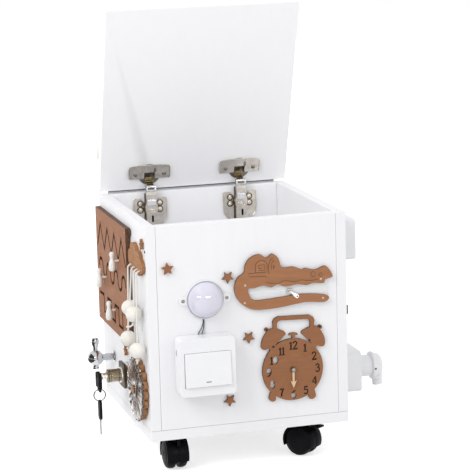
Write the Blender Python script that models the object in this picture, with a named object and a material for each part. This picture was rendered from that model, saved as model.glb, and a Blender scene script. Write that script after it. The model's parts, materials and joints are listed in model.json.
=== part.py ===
"""Activity cube on four castors: a board box with a lid on cup hinges and play fittings on its walls.

Metres, +Z up, -Y to the front. The origin is the centre of the base board's underside.
"""

import math

import bmesh
import bpy
from mathutils import Matrix, Vector

# Box
WIDTH = 0.300
DEPTH = 0.300
WALL_HEIGHT = 0.300
BOARD = 0.015
BASE_BOARD = 0.015
LID_BOARD = 0.015
SEAM = 0.0003
OVERRUN = 0.002
BOX_TOP = BASE_BOARD + SEAM + WALL_HEIGHT

# Lid hinges: a link between a pivot on the arm and a pivot in the cup
HINGE_X = 0.0725
LID_GAP = 0.001
LID_OPEN = math.radians(72.3)
LINK_TILT = math.radians(25.18)
LINK_LENGTH = 0.0148
LINK_WIDTH = 0.010
LINK_HALF = 0.0016
PIVOT_INSET = 0.011
PIVOT_DEPTH = 0.002
PIN_RADIUS = 0.001
PIN_CLEARANCE = 0.00015
PIN_REACH = 0.0024
SLOT_CLEARANCE = 0.0004
BORE_INSET = 0.0245
BORE_RADIUS = 0.0175
BORE_DEPTH = 0.0128
CUP_WALL_BOTTOM = 0.001
POCKET_RADIUS = 0.0108
CUP_SLOT_DEPTH = 0.0065
FLANGE = 0.001
FLANGE_LENGTH = 0.066
FLANGE_NEAR = 0.0180
FLANGE_FAR = 0.0375
FLANGE_SHARES = (
    (0.25, 0.0), (0.46, 0.08), (0.50, 0.25), (0.50, 0.72), (0.46, 0.84), (0.30, 0.96), (0.0, 1.0), (-0.30, 0.96),
    (-0.46, 0.84), (-0.50, 0.72), (-0.50, 0.25), (-0.46, 0.08), (-0.25, 0.0),
)
CUP_RIM_SHARE = 0.35
EAR = 0.0025
EAR_RADIUS = 0.0026
ARM_DEPTH = 0.006
ARM_FOOT = 0.045
ARM_SLOPE = 0.008
PLATE_HALF = 0.0267
PLATE_HEIGHT = 0.046
PLATE_DROP = 0.009
PLATE = 0.0016
WING_SHARES = (
    (-0.55, 0.0), (0.55, 0.0), (1.0, 0.32), (1.0, 1.0), (0.62, 1.0), (0.5, 0.88), (-0.5, 0.88), (-0.62, 1.0), (-1.0, 1.0),
    (-1.0, 0.32),
)

# Castors
KING_INSET = 0.020
TRAIL = 0.0155
WHEEL_RADIUS = 0.0225
WHEEL_PAIR = 0.031
WHEEL_ROUND = 0.003
AXLE_RADIUS = 0.0025
FLOOR_DROP = 0.0525
WEB = 0.005
RUNNING = 0.0004
HOOD_CLEARANCE = 0.0012
HOOD_SHELL = 0.0016
HOOD_OVERHANG = 0.001
HOOD_START = math.radians(-15)
HOOD_END = math.radians(165)
HUB_RADIUS = 0.005
STEM_RADIUS = 0.0035
STEM_REACH = 0.012
BOSS_RADIUS = 0.005
BOSS_TOP = 0.003
BOSS_BOTTOM = 0.0085
NECK_REAR = 0.012
NECK_DROP = 0.013
LEVER_PIVOT_X = 0.0096
LEVER_PIVOT_DROP = 0.0068
LEVER_CHEEK = 0.002
LEVER_TAB = 0.007
LEVER_THICK = 0.0026
CASTORS = {
    "front_left": (0.042, math.radians(90)),
    "front_right": (0.053, math.radians(126)),
    "rear_left": (0.042, math.radians(-20)),
    "rear_right": (0.042, math.radians(-105)),
}

# Cut wood fittings
PLY = 0.004

# Push light on the front
LIGHT_X = -0.0655
LIGHT_Z = 0.204
LIGHT_RING_RADIUS = 0.0285
LIGHT_RING = 0.0045
LIGHT_EAR_REACH = 0.0385
LIGHT_EAR_HALF = 0.0065
LIGHT_EAR = 0.003
LIGHT_SCREW_SPACING = 0.065
SCREW_HOLE_RADIUS = 0.0018
DOME_RADIUS = 0.0268
DOME_HEIGHT = 0.017
DOME_WALL = 0.002
LEAD_RADIUS = 0.0009
LEAD_HEIGHT = 0.0016
GROMMET_WIDTH = 0.007
GROMMET_HEIGHT = 0.004
GROMMET_DEPTH = 0.003

# Rocker switch on the front
SWITCH_X = -0.0705
SWITCH_Z = 0.1110
SWITCH_WIDTH = 0.083
SWITCH_HEIGHT = 0.085
SWITCH_DEPTH = 0.028
SWITCH_WALL = 0.002
SWITCH_ROUND = 0.006
ROCKER_WIDTH = 0.068
ROCKER_HEIGHT = 0.0495
ROCKER_THICK = 0.0085
ROCKER_RISE = -0.0035
ROCKER_CLEARANCE = 0.0006
ROCKER_TILT = math.radians(3)
ROCKER_PROUD = 0.0022
ROCKER_FRAME = 0.0036
ROCKER_FRAME_DEPTH = 0.009
TRUNNION_RADIUS = 0.0015
TRUNNION_REACH = 0.0022
TRUNNION_DEPTH = 0.0055
LEAD_NOTCH_WIDTH = 0.012
LEAD_NOTCH_DEPTH = 0.003
BATTERY_WIDTH = 0.062
BATTERY_HEIGHT = 0.032
BATTERY_DEPTH = 0.013

# Stars on the front: centre x, centre z, turn
STAR_RADIUS = 0.0095
STAR_INNER_SHARE = 0.47
STARS = {
    "star_top_middle": (-0.0306, 0.2335, math.radians(33)),
    "star_middle": (-0.0014, 0.1421, math.radians(36)),
    "star_low": (-0.0320, 0.0512, math.radians(31)),
}

# Crocodile plate with a zip for its mouth
CROC_X = -0.022
CROC_Z = 0.182
CROC_WIDTH = 0.149
CROC_HEIGHT = 0.082
CROC_SHARES = (
    (0.14, 0.40), (0.15, 0.27), (0.20, 0.18), (0.32, 0.18), (0.50, 0.20), (0.68, 0.22), (0.90, 0.18),
    (0.96, 0.12), (0.91, 0.04), (0.72, 0.07), (0.44, 0.01), (0.20, 0.01), (0.08, 0.12), (0.02, 0.26),
    (0.00, 0.42), (0.03, 0.60), (0.10, 0.69), (0.11, 0.80), (0.16, 0.94), (0.26, 1.00), (0.33, 0.925),
    (0.39, 0.99), (0.45, 0.90), (0.485, 0.73), (0.60, 0.725), (0.685, 0.665), (0.725, 0.68),
    (0.83, 0.64), (0.92, 0.695), (0.965, 0.63), (1.00, 0.49), (0.925, 0.45), (0.905, 0.385),
    (0.805, 0.405), (0.73, 0.375), (0.64, 0.405), (0.52, 0.38), (0.44, 0.43), (0.37, 0.39),
    (0.29, 0.435), (0.20, 0.40),
)
TAPE = 0.001
TAPE_LEFT_SHARE = 0.11
TAPE_RIGHT_SHARE = 0.955
TAPE_LOW_SHARE = 0.15
TAPE_HIGH_SHARE = 0.44
SLIDER_X = 0.062
SLIDER_LENGTH = 0.009
SLIDER_WIDTH = 0.007
SLIDER_HEIGHT = 0.0045
PULL_LENGTH = 0.017
PULL_WIDTH = 0.005
PULL_THICK = 0.0012
PULL_TURN = math.radians(-38)
MOUTH_LINE_SHARE = 0.285

# Alarm clock plate
CLOCK_X = 0.064
CLOCK_Z = 0.0885
CLOCK_RADIUS = 0.0463
CLOCK_TILT = math.radians(2)
BELL_SHARES = (
    (0.25, 1.16), (0.39, 1.285), (0.65, 1.36), (0.83, 1.30), (1.015, 1.03), (1.05, 0.76),
    (0.93, 0.68), (0.67, 0.78), (0.52, 0.90),
)
HANDLE_SHARES = (
    (0.66, 1.30), (0.69, 1.55), (0.645, 1.66), (0.52, 1.73), (-0.52, 1.73), (-0.645, 1.66),
    (-0.69, 1.55), (-0.66, 1.30), (-0.54, 1.30), (-0.55, 1.50), (-0.515, 1.57), (-0.44, 1.60),
    (0.44, 1.60), (0.515, 1.57), (0.55, 1.50), (0.54, 1.30),
)
BELL_LEG_SHARES = ((0.70, 0.56), (0.84, 0.84), (0.64, 1.00), (0.56, 0.70))
HAMMER_SHARES = (
    (-0.045, 0.95), (0.045, 0.95), (0.045, 1.10), (0.15, 1.11), (0.13, 1.16), (0.0, 1.19),
    (-0.13, 1.16), (-0.15, 1.11), (-0.045, 1.10),
)
FOOT_SHARES = ((0.58, 0.72), (0.70, 0.66), (0.78, 0.88), (0.74, 0.97), (0.64, 1.01), (0.55, 0.95))
NUB_SHARES = (0.88, 1.32)
NUB_RADIUS_SHARE = 0.07
HAND_LENGTH = 0.026
HAND_HALF = 0.002
HAND_HEAD_HALF = 0.006
HAND_HEAD = 0.006
HAND_ROOT = 0.004
HAND_THICK = 0.0025
HAND_GAP = 0.0005
HAND_TURN = math.radians(178)
CLOCK_PIN_RADIUS = 0.0015
CLOCK_PIN_HEAD_RADIUS = 0.0032
CLOCK_PIN_HEAD = 0.0012

# Maze board on the left wall. On that wall the first number runs from the middle to the front.
MAZE_FORE = 0.060
MAZE_LENGTH = 0.201
MAZE_REAR = MAZE_FORE - MAZE_LENGTH
MAZE_LOW = 0.123
MAZE_HEIGHT = 0.175
MAZE_SPACER = 0.004
MAZE_FRONT = 0.004
MAZE_RIM = 0.008
SLOT_WIDTH = 0.0048
ZIGZAG_STEP = MAZE_LENGTH * 0.11642
ZIGZAG_START = MAZE_REAR + MAZE_LENGTH * 0.0398
ZIGZAG_STEPS = 8
ZIGZAG_LOW = 0.2405
ZIGZAG_HIGH = 0.2765
ARC_RADIUS = MAZE_LENGTH * 0.06269
WAVE_START = MAZE_REAR + MAZE_LENGTH * 0.14179
WAVE_ARCS = 7
WAVE_Z = 0.2095
SQUARE_START = MAZE_REAR + MAZE_LENGTH * 0.07463
SQUARE_STEP = MAZE_LENGTH * 0.12438
SQUARE_STEPS = 7
SQUARE_LOW = 0.140
SQUARE_HIGH = 0.166
PEG_STEM_RADIUS = 0.0019
PEG_FOOT_RADIUS = 0.0045
PEG_FOOT = 0.0025
PEG_OUT = 0.0172
PEG_LENGTH = 0.029
PEG_RADIUS = 0.0055
PEG_SHARES = ((0.0, 0.5), (0.55, 0.47), (0.78, 0.36), (0.55, 0.17), (0.62, 0.05), (0.95, -0.12), (1.0, -0.40), (0.8, -0.5), (0.0, -0.5))
PEG_LOW_REST = 0.1585

# Cloud plate, lacing cords and beads on the left wall
CLOUD_REAR = 0.062
CLOUD_LENGTH = 0.086
CLOUD_LOW = 0.241
CLOUD_HEIGHT = 0.043
CLOUD_THICK = 0.0055
CLOUD_SKIN = 0.0018
CLOUD_SHARES = (
    (0.02, 0.30), (0.00, 0.48), (0.06, 0.66), (0.15, 0.70), (0.20, 0.90), (0.36, 1.00), (0.52, 0.93),
    (0.58, 0.80), (0.70, 0.84), (0.82, 0.72), (0.84, 0.60), (0.95, 0.52), (1.00, 0.32), (0.94, 0.14),
    (0.84, 0.10), (0.76, 0.00), (0.62, 0.02), (0.55, 0.07), (0.42, 0.02), (0.28, 0.04), (0.18, 0.03),
    (0.08, 0.12),
)
CLOUD_HOLLOW_SHARES = ((0.18, 0.155), (0.89, 0.155), (0.89, 0.42), (0.18, 0.42))
CORD_RADIUS = 0.0013
CORD_OUT = 0.0019
CORD_TURN = 0.003
CORD_HOLE_RADIUS = 0.0021
CORD_HOLE_Z = 0.2495
CORD_HANG_OUT = 0.0105
CORD_BEND = 0.0045
CORD_TAIL = 0.0015
BEAD_RADIUS = 0.0118
BEAD_OUT = 0.0135
BEAD_BORE_RADIUS = 0.0019
BEADS = {
    "bead_1": (0.1025, 0.0958, 0.1884),
    "bead_2": (0.0820, 0.0806, 0.1392),
    "bead_3": (0.1200, 0.1211, 0.1843),
    "bead_4": (0.1345, 0.1360, 0.1342),
}
CORDS = {"cord_rear": ("bead_1", "bead_2"), "cord_front": ("bead_3", "bead_4")}

# Gears on the left wall
GEAR_X = 0.098
GEAR_Z = 0.067
WOOD_GEAR_RADIUS = 0.0465
WOOD_SCALLOPS = 18
SCALLOP_DEPTH = 0.0054
WOOD_GEAR_OUT = 0.001
WOOD_GEAR = 0.005
DOWEL_RADIUS = 0.004
DOWEL_DEPTH = 0.011
DOWEL_CAP_RADIUS = 0.0065
DOWEL_CAP = 0.002
CLEAR_GEAR_RADIUS = 0.0475
CLEAR_TEETH = 20
TOOTH_DEPTH = 0.005
CLEAR_GEAR_OUT = 0.0075
CLEAR_GEAR = 0.0035

# Cam lock with its keys on the left wall
LOCK_X = 0.022
LOCK_Z = 0.0700
LOCK_BODY = 0.030
LOCK_BODY_DEPTH = 0.010
LOCK_PLATE = 0.036
LOCK_PLATE_TOP = 0.0125
LOCK_ROUND = 0.003
COLLAR_RADIUS = 0.012
LOCK_CASE = 0.015
BARREL_RADIUS = 0.0095
BARREL_LENGTH = 0.0195
KEYWAY_RADIUS = 0.0045
BOLT_WIDTH = 0.020
BOLT_THICK = 0.0045
BOLT_LENGTH = 0.018
BOLT_PROUD = 0.001
BOLT_THROW = 0.008
BOLT_OUT = 0.0025
KEY_CORE_RADIUS = 0.0042
KEY_CORE_REACH = 0.0195
KEY_HUB_RADIUS = 0.0055
KEY_HUB = 0.0075
KEY_FORK_HALF = 0.0028
HEAD_PIVOT_OUT = 0.0125
HEAD_PIVOT_RISE = 0.003
HEAD_BACK = 0.0022
HEAD_FRONT = 0.0032
HEAD_FORK = 0.0045
HEAD_WIDTH = 0.022
HEAD_LENGTH = 0.030
HEAD_TOP = 0.004
EYE_HALF = 0.001
EYE_HEIGHT = 0.007
EYE_RIM = 0.0022
HEAD_HOLE_RADIUS = 0.0022
RING_RADIUS = 0.0088
RING_WIRE = 0.0007
RING_HANG = 0.0063
SPARE_DROP = 0.016
SPARE_HEAD = 0.030
SPARE_WIDTH = 0.014
SPARE_THICK = 0.003
SPARE_BLADE = 0.022
SPARE_BLADE_WIDTH = 0.005
SPARE_BLADE_THICK = 0.0016

# Small tap on the left wall
TAP_X = -0.077
TAP_Z = 0.0735
TAP_STUB_RADIUS = 0.0053
TAP_BORE_DEPTH = 0.009
TAP_BALL_OUT = 0.030
TAP_BALL_RADIUS = 0.0125
TAP_SPOUT_RADIUS = 0.0042
TAP_SPOUT_REACH = 0.0165
TAP_SEAT = 0.0115
TAP_LEVER_RADIUS = 0.0048
TAP_LEVER_SHARES = ((0.75, 0.0), (0.70, 0.25), (1.15, 0.55), (1.25, 0.80), (0.95, 1.0))
TAP_LEVER_RISE = 0.0195
TAP_PIN_RADIUS = 0.002
TAP_PIN_REACH = 0.006

# Right wall fittings. On that wall the first number runs from the middle to the back.
SIDE_SWITCH_X = -0.0675
SIDE_SWITCH_Z = 0.2620
SIDE_SWITCH_SIZE = 0.061
SIDE_SWITCH_DEPTH = 0.0335
SIDE_ROCKER_SIZE = 0.042
SIDE_ROCKER_THICK = 0.007
SIDE_WELL_DEPTH = 0.011
SOCKET_X = -0.0760
SOCKET_Z = 0.0616
SOCKET_LENGTH = 0.068
SOCKET_HEIGHT = 0.062
SOCKET_DEPTH = 0.036
SOCKET_ROUND = 0.008
SOCKET_WELL_RADIUS = 0.0205
SOCKET_WELL_DEPTH = 0.004
PLUG_NECK_RADIUS = 0.0165
PLUG_NECK = 0.029
PLUG_RIM_RADIUS = 0.0210
PLUG_CAP = 0.0170
PLUG_CAP_SHARES = ((1.0, 0.0), (1.0, 0.26), (0.93, 0.26), (0.90, 0.72), (0.72, 0.95), (0.5, 1.0), (0.0, 1.0))
PLUG_SPOUT_RADIUS = 0.0075
PLUG_SPOUT_REACH = 0.0305
PLUG_GAP = 0.0005
PLUG_PIN_RADIUS = 0.0023
PLUG_PIN = 0.012
PLUG_PIN_SPACING = 0.019
PLUG_PIN_CLEARANCE = 0.0004

# Knob on the lid's outer face
KNOB_X = -0.126
KNOB_INSET = 0.040
KNOB_HEIGHT = 0.052
KNOB_RADIUS = 0.020
KNOB_SHARES = ((0.0, 1.0), (0.55, 0.97), (0.92, 0.86), (1.0, 0.74), (0.88, 0.62), (0.5, 0.52), (0.38, 0.36), (0.42, 0.12), (0.75, 0.0), (0.0, 0.0))

SIDES = 24
SMALL_SIDES = 16
TINY_SIDES = 10
QUARTER = math.pi / 2


def clear_scene():
    for old in list(bpy.data.objects):
        bpy.data.objects.remove(old)


def paint(name, colour, roughness, metallic=0.0, alpha=1.0):
    """A plain Principled material."""
    made = bpy.data.materials.new(name)
    made.use_nodes = True
    shader = made.node_tree.nodes["Principled BSDF"]
    shader.inputs["Base Color"].default_value = (*colour, 1)
    shader.inputs["Roughness"].default_value = roughness
    shader.inputs["Metallic"].default_value = metallic
    shader.inputs["Alpha"].default_value = alpha
    return made


def frame(name, place, turn=(0, 0, 0), parent=None):
    """An empty that carries the pieces of one face or one moving group."""
    made = bpy.data.objects.new(name, None)
    bpy.context.scene.collection.objects.link(made)
    made.parent = parent
    made.location = place
    made.rotation_euler = turn
    return made


def to_object(name, shape, parent, place, turn):
    bmesh.ops.recalc_face_normals(shape, faces=shape.faces)
    mesh = bpy.data.meshes.new(name)
    shape.to_mesh(mesh)
    shape.free()
    made = bpy.data.objects.new(name, mesh)
    bpy.context.scene.collection.objects.link(made)
    made.parent = parent
    made.location = place
    made.rotation_euler = turn
    return made


def piece(name, shape, material, parent=None, place=(0, 0, 0), turn=(0, 0, 0)):
    """One named solid."""
    made = to_object(name, shape, parent, place, turn)
    made.data.materials.append(material)
    made.data.shade_smooth()
    made.data.set_sharp_from_angle(angle=math.radians(35))
    return made


def change(target, shape, operation, place=None, turn=None):
    """Cuts a shape from a solid, or joins it on, with a hidden helper in the solid's own frame."""
    name = f"{target.name}_{operation.lower()}"
    helper = to_object(name, shape, target.parent, place or target.location, turn or target.rotation_euler)
    helper.hide_render = True
    helper.display_type = "WIRE"
    modifier = target.modifiers.new(name, "BOOLEAN")
    modifier.operation = operation
    modifier.object = helper


def cut(target, shape):
    change(target, shape, "DIFFERENCE")


def join(target, shape):
    change(target, shape, "UNION")


def block(shape, low, high):
    """A box between two corners."""
    low, high = Vector(low), Vector(high)
    size = high - low
    matrix = Matrix.Translation((low + high) / 2) @ Matrix.Diagonal((*size, 1))
    bmesh.ops.create_cube(shape, size=1, matrix=matrix)
    return shape


def prism(shape, outline, low, high, by=None):
    """An outline in X and Y, filled from one height to another."""
    rings = [[shape.verts.new((x, y, z)) for x, y in outline] for z in (low, high)]
    shape.faces.new(reversed(rings[0]))
    shape.faces.new(rings[1])
    for i in range(len(outline)):
        j = (i + 1) % len(outline)
        shape.faces.new((rings[0][i], rings[0][j], rings[1][j], rings[1][i]))
    if by is not None:
        bmesh.ops.transform(shape, matrix=by, verts=rings[0] + rings[1])
    return shape


def turned(shape, profile, sides, by=None):
    """A profile of (radius, height) turned about Z. It ends on the axis, or else closes on itself."""
    closed = profile[0][0] > 0
    rings = []
    for radius, height in profile:
        count = sides if radius > 0 else 1
        angles = [2 * math.pi * i / sides for i in range(count)]
        rings.append([shape.verts.new((radius * math.cos(a), radius * math.sin(a), height)) for a in angles])
    following = rings[1:] + rings[:1] if closed else rings[1:]
    for upper, lower in zip(rings, following):
        for i in range(sides):
            around = (upper[i % len(upper)], upper[(i + 1) % sides % len(upper)])
            below = (lower[(i + 1) % sides % len(lower)], lower[i % len(lower)])
            shape.faces.new(dict.fromkeys(around + below))
    if by is not None:
        bmesh.ops.transform(shape, matrix=by, verts=[vert for ring in rings for vert in ring])
    return shape


def rod(shape, radius, low, high, sides=SMALL_SIDES, by=None):
    """A cylinder along Z from one height to another."""
    return turned(shape, ((0, high), (radius, high), (radius, low), (0, low)), sides, by)


def ball(radius, steps):
    """A profile round a sphere's side, from its top pole down."""
    rings = [(radius * math.sin(math.pi * i / steps), radius * math.cos(math.pi * i / steps)) for i in range(1, steps)]
    return [(0, radius), *rings, (0, -radius)]


def along(axis, place=(0, 0, 0)):
    """Turns the Z axis to the named axis, then moves it to a place."""
    turns = {"X": Matrix.Rotation(QUARTER, 4, "Y"), "Y": Matrix.Rotation(-QUARTER, 4, "X"), "Z": Matrix()}
    return Matrix.Translation(place) @ turns[axis]


def circle(radius, sides, x=0, y=0):
    angles = [2 * math.pi * i / sides for i in range(sides)]
    return [(x + radius * math.cos(a), y + radius * math.sin(a)) for a in angles]


def rounded(width, height, radius, x=0, y=0, steps=4):
    """A rectangle with round corners, about a centre."""
    outline = []
    corners = ((1, 1, 0), (-1, 1, 1), (-1, -1, 2), (1, -1, 3))
    for side_x, side_y, quarter in corners:
        for i in range(steps + 1):
            a = QUARTER * (quarter + i / steps)
            outline.append((
                x + side_x * (width / 2 - radius) + radius * math.cos(a),
                y + side_y * (height / 2 - radius) + radius * math.sin(a),
            ))
    return outline


def smooth_loop(points, steps=3):
    """A closed curve through the points."""
    count = len(points)
    outline = []
    for i in range(count):
        before, start, end, after = (Vector(points[(i + k) % count]) for k in (-1, 0, 1, 2))
        for step in range(steps):
            t = step / steps
            outline.append(tuple(
                start + (end - before) * (t / 2)
                + (before * 2 - start * 5 + end * 4 - after) * (t * t / 2)
                + (start * 3 - before - end * 3 + after) * (t * t * t / 2)
            ))
    return outline


def scaled(shares, width, height, x=0, y=0):
    return [(x + width * a, y + height * b) for a, b in shares]


def mirrored(outline):
    return [(-x, y) for x, y in reversed(outline)]


def turned_outline(outline, turn, x=0, y=0):
    c, s = math.cos(turn), math.sin(turn)
    return [(x + a * c - b * s, y + a * s + b * c) for a, b in outline]


def stroke(points, width):
    """The outline of a channel of one width along a path, with mitred bends."""
    half = width / 2
    sides = ([], [])
    last = len(points) - 1
    for i, here in enumerate(points):
        here = Vector(here)
        before = (here - Vector(points[max(i - 1, 0)])).normalized()
        after = (Vector(points[min(i + 1, last)]) - here).normalized()
        before = before if i > 0 else after
        after = after if i < last else before
        across = Vector((-(before.y + after.y), before.x + after.x)).normalized()
        reach = half / max(across.dot(Vector((-before.y, before.x))), 0.35)
        end = half if i == last else -half if i == 0 else 0
        here = here + before * end
        sides[0].append(tuple(here + across * reach))
        sides[1].append(tuple(here - across * reach))
    return sides[0] + sides[1][::-1]


def castor_place(name):
    x = WIDTH / 2 - CASTORS[name][0]
    y = DEPTH / 2 - KING_INSET
    return (-x if name.endswith("left") else x), (-y if name.startswith("front") else y)


def walls(white):
    """The five fixed boards. The side walls cover the front's and the back's ends."""
    inner = WIDTH / 2 - BOARD
    low = BASE_BOARD + SEAM
    base = piece("base_board", block(bmesh.new(), (-WIDTH / 2, -DEPTH / 2, 0), (WIDTH / 2, DEPTH / 2, BASE_BOARD)), white)
    stems = bmesh.new()
    for name in CASTORS:
        rod(stems, STEM_RADIUS + SEAM, -OVERRUN, STEM_REACH + SEAM, by=Matrix.Translation((*castor_place(name), 0)))
    cut(base, stems)
    for name, side in (("left_wall", -1), ("right_wall", 1)):
        x_low, x_high = sorted((side * WIDTH / 2, side * inner))
        wall = piece(name, block(bmesh.new(), (x_low, -DEPTH / 2, low), (x_high, DEPTH / 2, BOX_TOP)), white)
        if side < 0:
            holes = bmesh.new()
            out = -WIDTH / 2
            dowel = Matrix.Translation((out, -GEAR_X, GEAR_Z)) @ along("X")
            rod(holes, DOWEL_RADIUS + SEAM, -OVERRUN, DOWEL_DEPTH + SEAM, by=dowel)
            tap = Matrix.Translation((out, -TAP_X, TAP_Z)) @ along("X")
            rod(holes, TAP_STUB_RADIUS + SEAM, -OVERRUN, TAP_BORE_DEPTH + SEAM, by=tap)
            cut(wall, holes)
    for name, side in (("front_panel", -1), ("back_panel", 1)):
        y_low, y_high = sorted((side * DEPTH / 2, side * (DEPTH / 2 - BOARD)))
        x = inner - SEAM
        piece(name, block(bmesh.new(), (-x, y_low, low), (x, y_high, BOX_TOP)), white)


def hinge_places():
    """The arm pivot and the lid pivot of the open lid, as (y, z)."""
    closed_y = DEPTH / 2 - PIVOT_INSET
    closed_z = BOX_TOP + LID_GAP + PIVOT_DEPTH
    run = LINK_LENGTH * math.cos(LINK_TILT)
    rise = LINK_LENGTH * math.sin(LINK_TILT)
    arm = (closed_y - run, closed_z + rise)
    lid = (arm[0] + run, arm[1] + rise)
    return arm, lid


def hinge_arm(name, x, arm, nickel):
    """A winged plate on the back panel with an arm whose forked end holds the link's pin."""
    face = DEPTH / 2 - BOARD - SEAM
    low = BOX_TOP - PLATE_DROP - PLATE_HEIGHT
    half = LINK_WIDTH / 2 + SLOT_CLEARANCE + EAR
    wings = scaled(WING_SHARES, PLATE_HALF, PLATE_HEIGHT, 0, low)
    plate_by = Matrix.Translation((0, face, 0)) @ Matrix.Rotation(QUARTER, 4, "X")
    made = piece(name, prism(bmesh.new(), wings, 0, PLATE, plate_by), nickel, place=(x, 0, 0))
    y, z = arm
    front = y - ARM_DEPTH / 2
    back = y + ARM_DEPTH / 2
    rounds = [(y + EAR_RADIUS * math.cos(a), z + EAR_RADIUS * math.sin(a)) for a in (math.pi * i / 6 for i in range(7))]
    top = BOX_TOP - PLATE_DROP - ARM_SLOPE
    foot = face - PLATE / 2
    side = [(foot, z - ARM_FOOT - ARM_SLOPE), (front, z - ARM_FOOT), (front, z - ARM_SLOPE)]
    side = side + rounds[::-1] + [(back, z - ARM_SLOPE), (back, top), (foot, top - ARM_SLOPE)]
    side_by = Matrix(((0, 0, 1, 0), (1, 0, 0, 0), (0, 1, 0, 0), (0, 0, 0, 1)))
    join(made, prism(bmesh.new(), side, -half, half, side_by))
    fork = LINK_WIDTH / 2 + SLOT_CLEARANCE
    slot_low = z - LINK_LENGTH * math.sin(LINK_TILT)
    cuts = block(bmesh.new(), (-fork, front - OVERRUN, slot_low), (fork, back + OVERRUN, z + EAR_RADIUS + OVERRUN))
    cut(made, cuts)
    pin = along("X", (0, y, z))
    cut(made, rod(bmesh.new(), PIN_RADIUS + PIN_CLEARANCE, -half - OVERRUN, half + OVERRUN, TINY_SIDES, pin))


def hinge_link(name, pivot, brass):
    """A short bar with a pin through each end."""
    end = math.pi / 6
    first = [(LINK_HALF * math.cos(QUARTER + end * i), LINK_HALF * math.sin(QUARTER + end * i)) for i in range(7)]
    last = [(LINK_LENGTH - y, -z) for y, z in first]
    by = Matrix(((0, 0, 1, 0), (1, 0, 0, 0), (0, 1, 0, 0), (0, 0, 0, 1)))
    made = piece(name, prism(bmesh.new(), first + last, -LINK_WIDTH / 2, LINK_WIDTH / 2, by), brass, pivot)
    reach = LINK_WIDTH / 2 + PIN_REACH
    pins = bmesh.new()
    for y in (0, LINK_LENGTH):
        rod(pins, PIN_RADIUS, -reach, reach, TINY_SIDES, along("X", (0, y, 0)))
    join(made, pins)


def hinge_cup(name, x, lid, nickel):
    """A cup let into the lid, with a flange on the lid's face and a slot where the link comes out.

    In the lid's frame +Y runs up the lid from the pivot and +Z points away from its inner face.
    """
    centre = BORE_INSET - PIVOT_INSET
    low = PIVOT_DEPTH - BORE_DEPTH + SEAM
    seat = PIVOT_DEPTH + SEAM
    rim = seat + FLANGE * CUP_RIM_SHARE
    radius = BORE_RADIUS - SEAM
    made = piece(name, rod(bmesh.new(), radius, low, rim, SIDES, Matrix.Translation((0, centre, 0))), nickel, lid, (x, 0, 0))
    near = FLANGE_NEAR - PIVOT_INSET
    far = FLANGE_FAR - PIVOT_INSET
    wings = scaled(FLANGE_SHARES, FLANGE_LENGTH, far - near, 0, near)
    join(made, prism(bmesh.new(), wings, seat, seat + FLANGE))
    floor = low + CUP_WALL_BOTTOM
    top = seat + FLANGE + OVERRUN
    cut(made, rod(bmesh.new(), POCKET_RADIUS, floor, top, SIDES, Matrix.Translation((0, centre, 0))))
    half = LINK_WIDTH / 2 + SLOT_CLEARANCE
    cut(made, block(bmesh.new(), (-half, -PIVOT_INSET, PIVOT_DEPTH - CUP_SLOT_DEPTH), (half, centre, top)))
    reach = LINK_WIDTH / 2 + PIN_REACH + SLOT_CLEARANCE
    cut(made, rod(bmesh.new(), PIN_RADIUS + PIN_CLEARANCE, -reach, reach, TINY_SIDES, along("X")))


def lid_group(white, nickel, brass):
    arm, pivot = hinge_places()
    lid = frame("lid_axis", (0, *pivot), (math.pi - LID_OPEN, 0, 0))
    inner = PIVOT_DEPTH
    outer = PIVOT_DEPTH - LID_BOARD
    low = (-WIDTH / 2, -PIVOT_INSET, outer)
    high = (WIDTH / 2, DEPTH - PIVOT_INSET, inner)
    panel = piece("lid_panel", block(bmesh.new(), low, high), white, lid)
    bores = bmesh.new()
    for side in (-1, 1):
        place = Matrix.Translation((side * HINGE_X, BORE_INSET - PIVOT_INSET, 0))
        rod(bores, BORE_RADIUS, inner - BORE_DEPTH, inner + OVERRUN, SIDES, place)
    cut(panel, bores)
    for name, side in (("left", -1), ("right", 1)):
        x = side * HINGE_X
        hinge_arm(f"hinge_arm_{name}", x, arm, nickel)
        link = frame(f"link_axis_{name}", (x, *arm), (LINK_TILT, 0, 0))
        hinge_link(f"hinge_link_{name}", link, brass)
        hinge_cup(f"hinge_cup_{name}", x, lid, nickel)
    profile = [(KNOB_RADIUS * r, -KNOB_HEIGHT * h) for r, h in KNOB_SHARES]
    place = (KNOB_X, KNOB_INSET - PIVOT_INSET, outer - SEAM)
    piece("lid_knob", turned(bmesh.new(), profile, SIDES // 2), white, lid, place)


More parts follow.
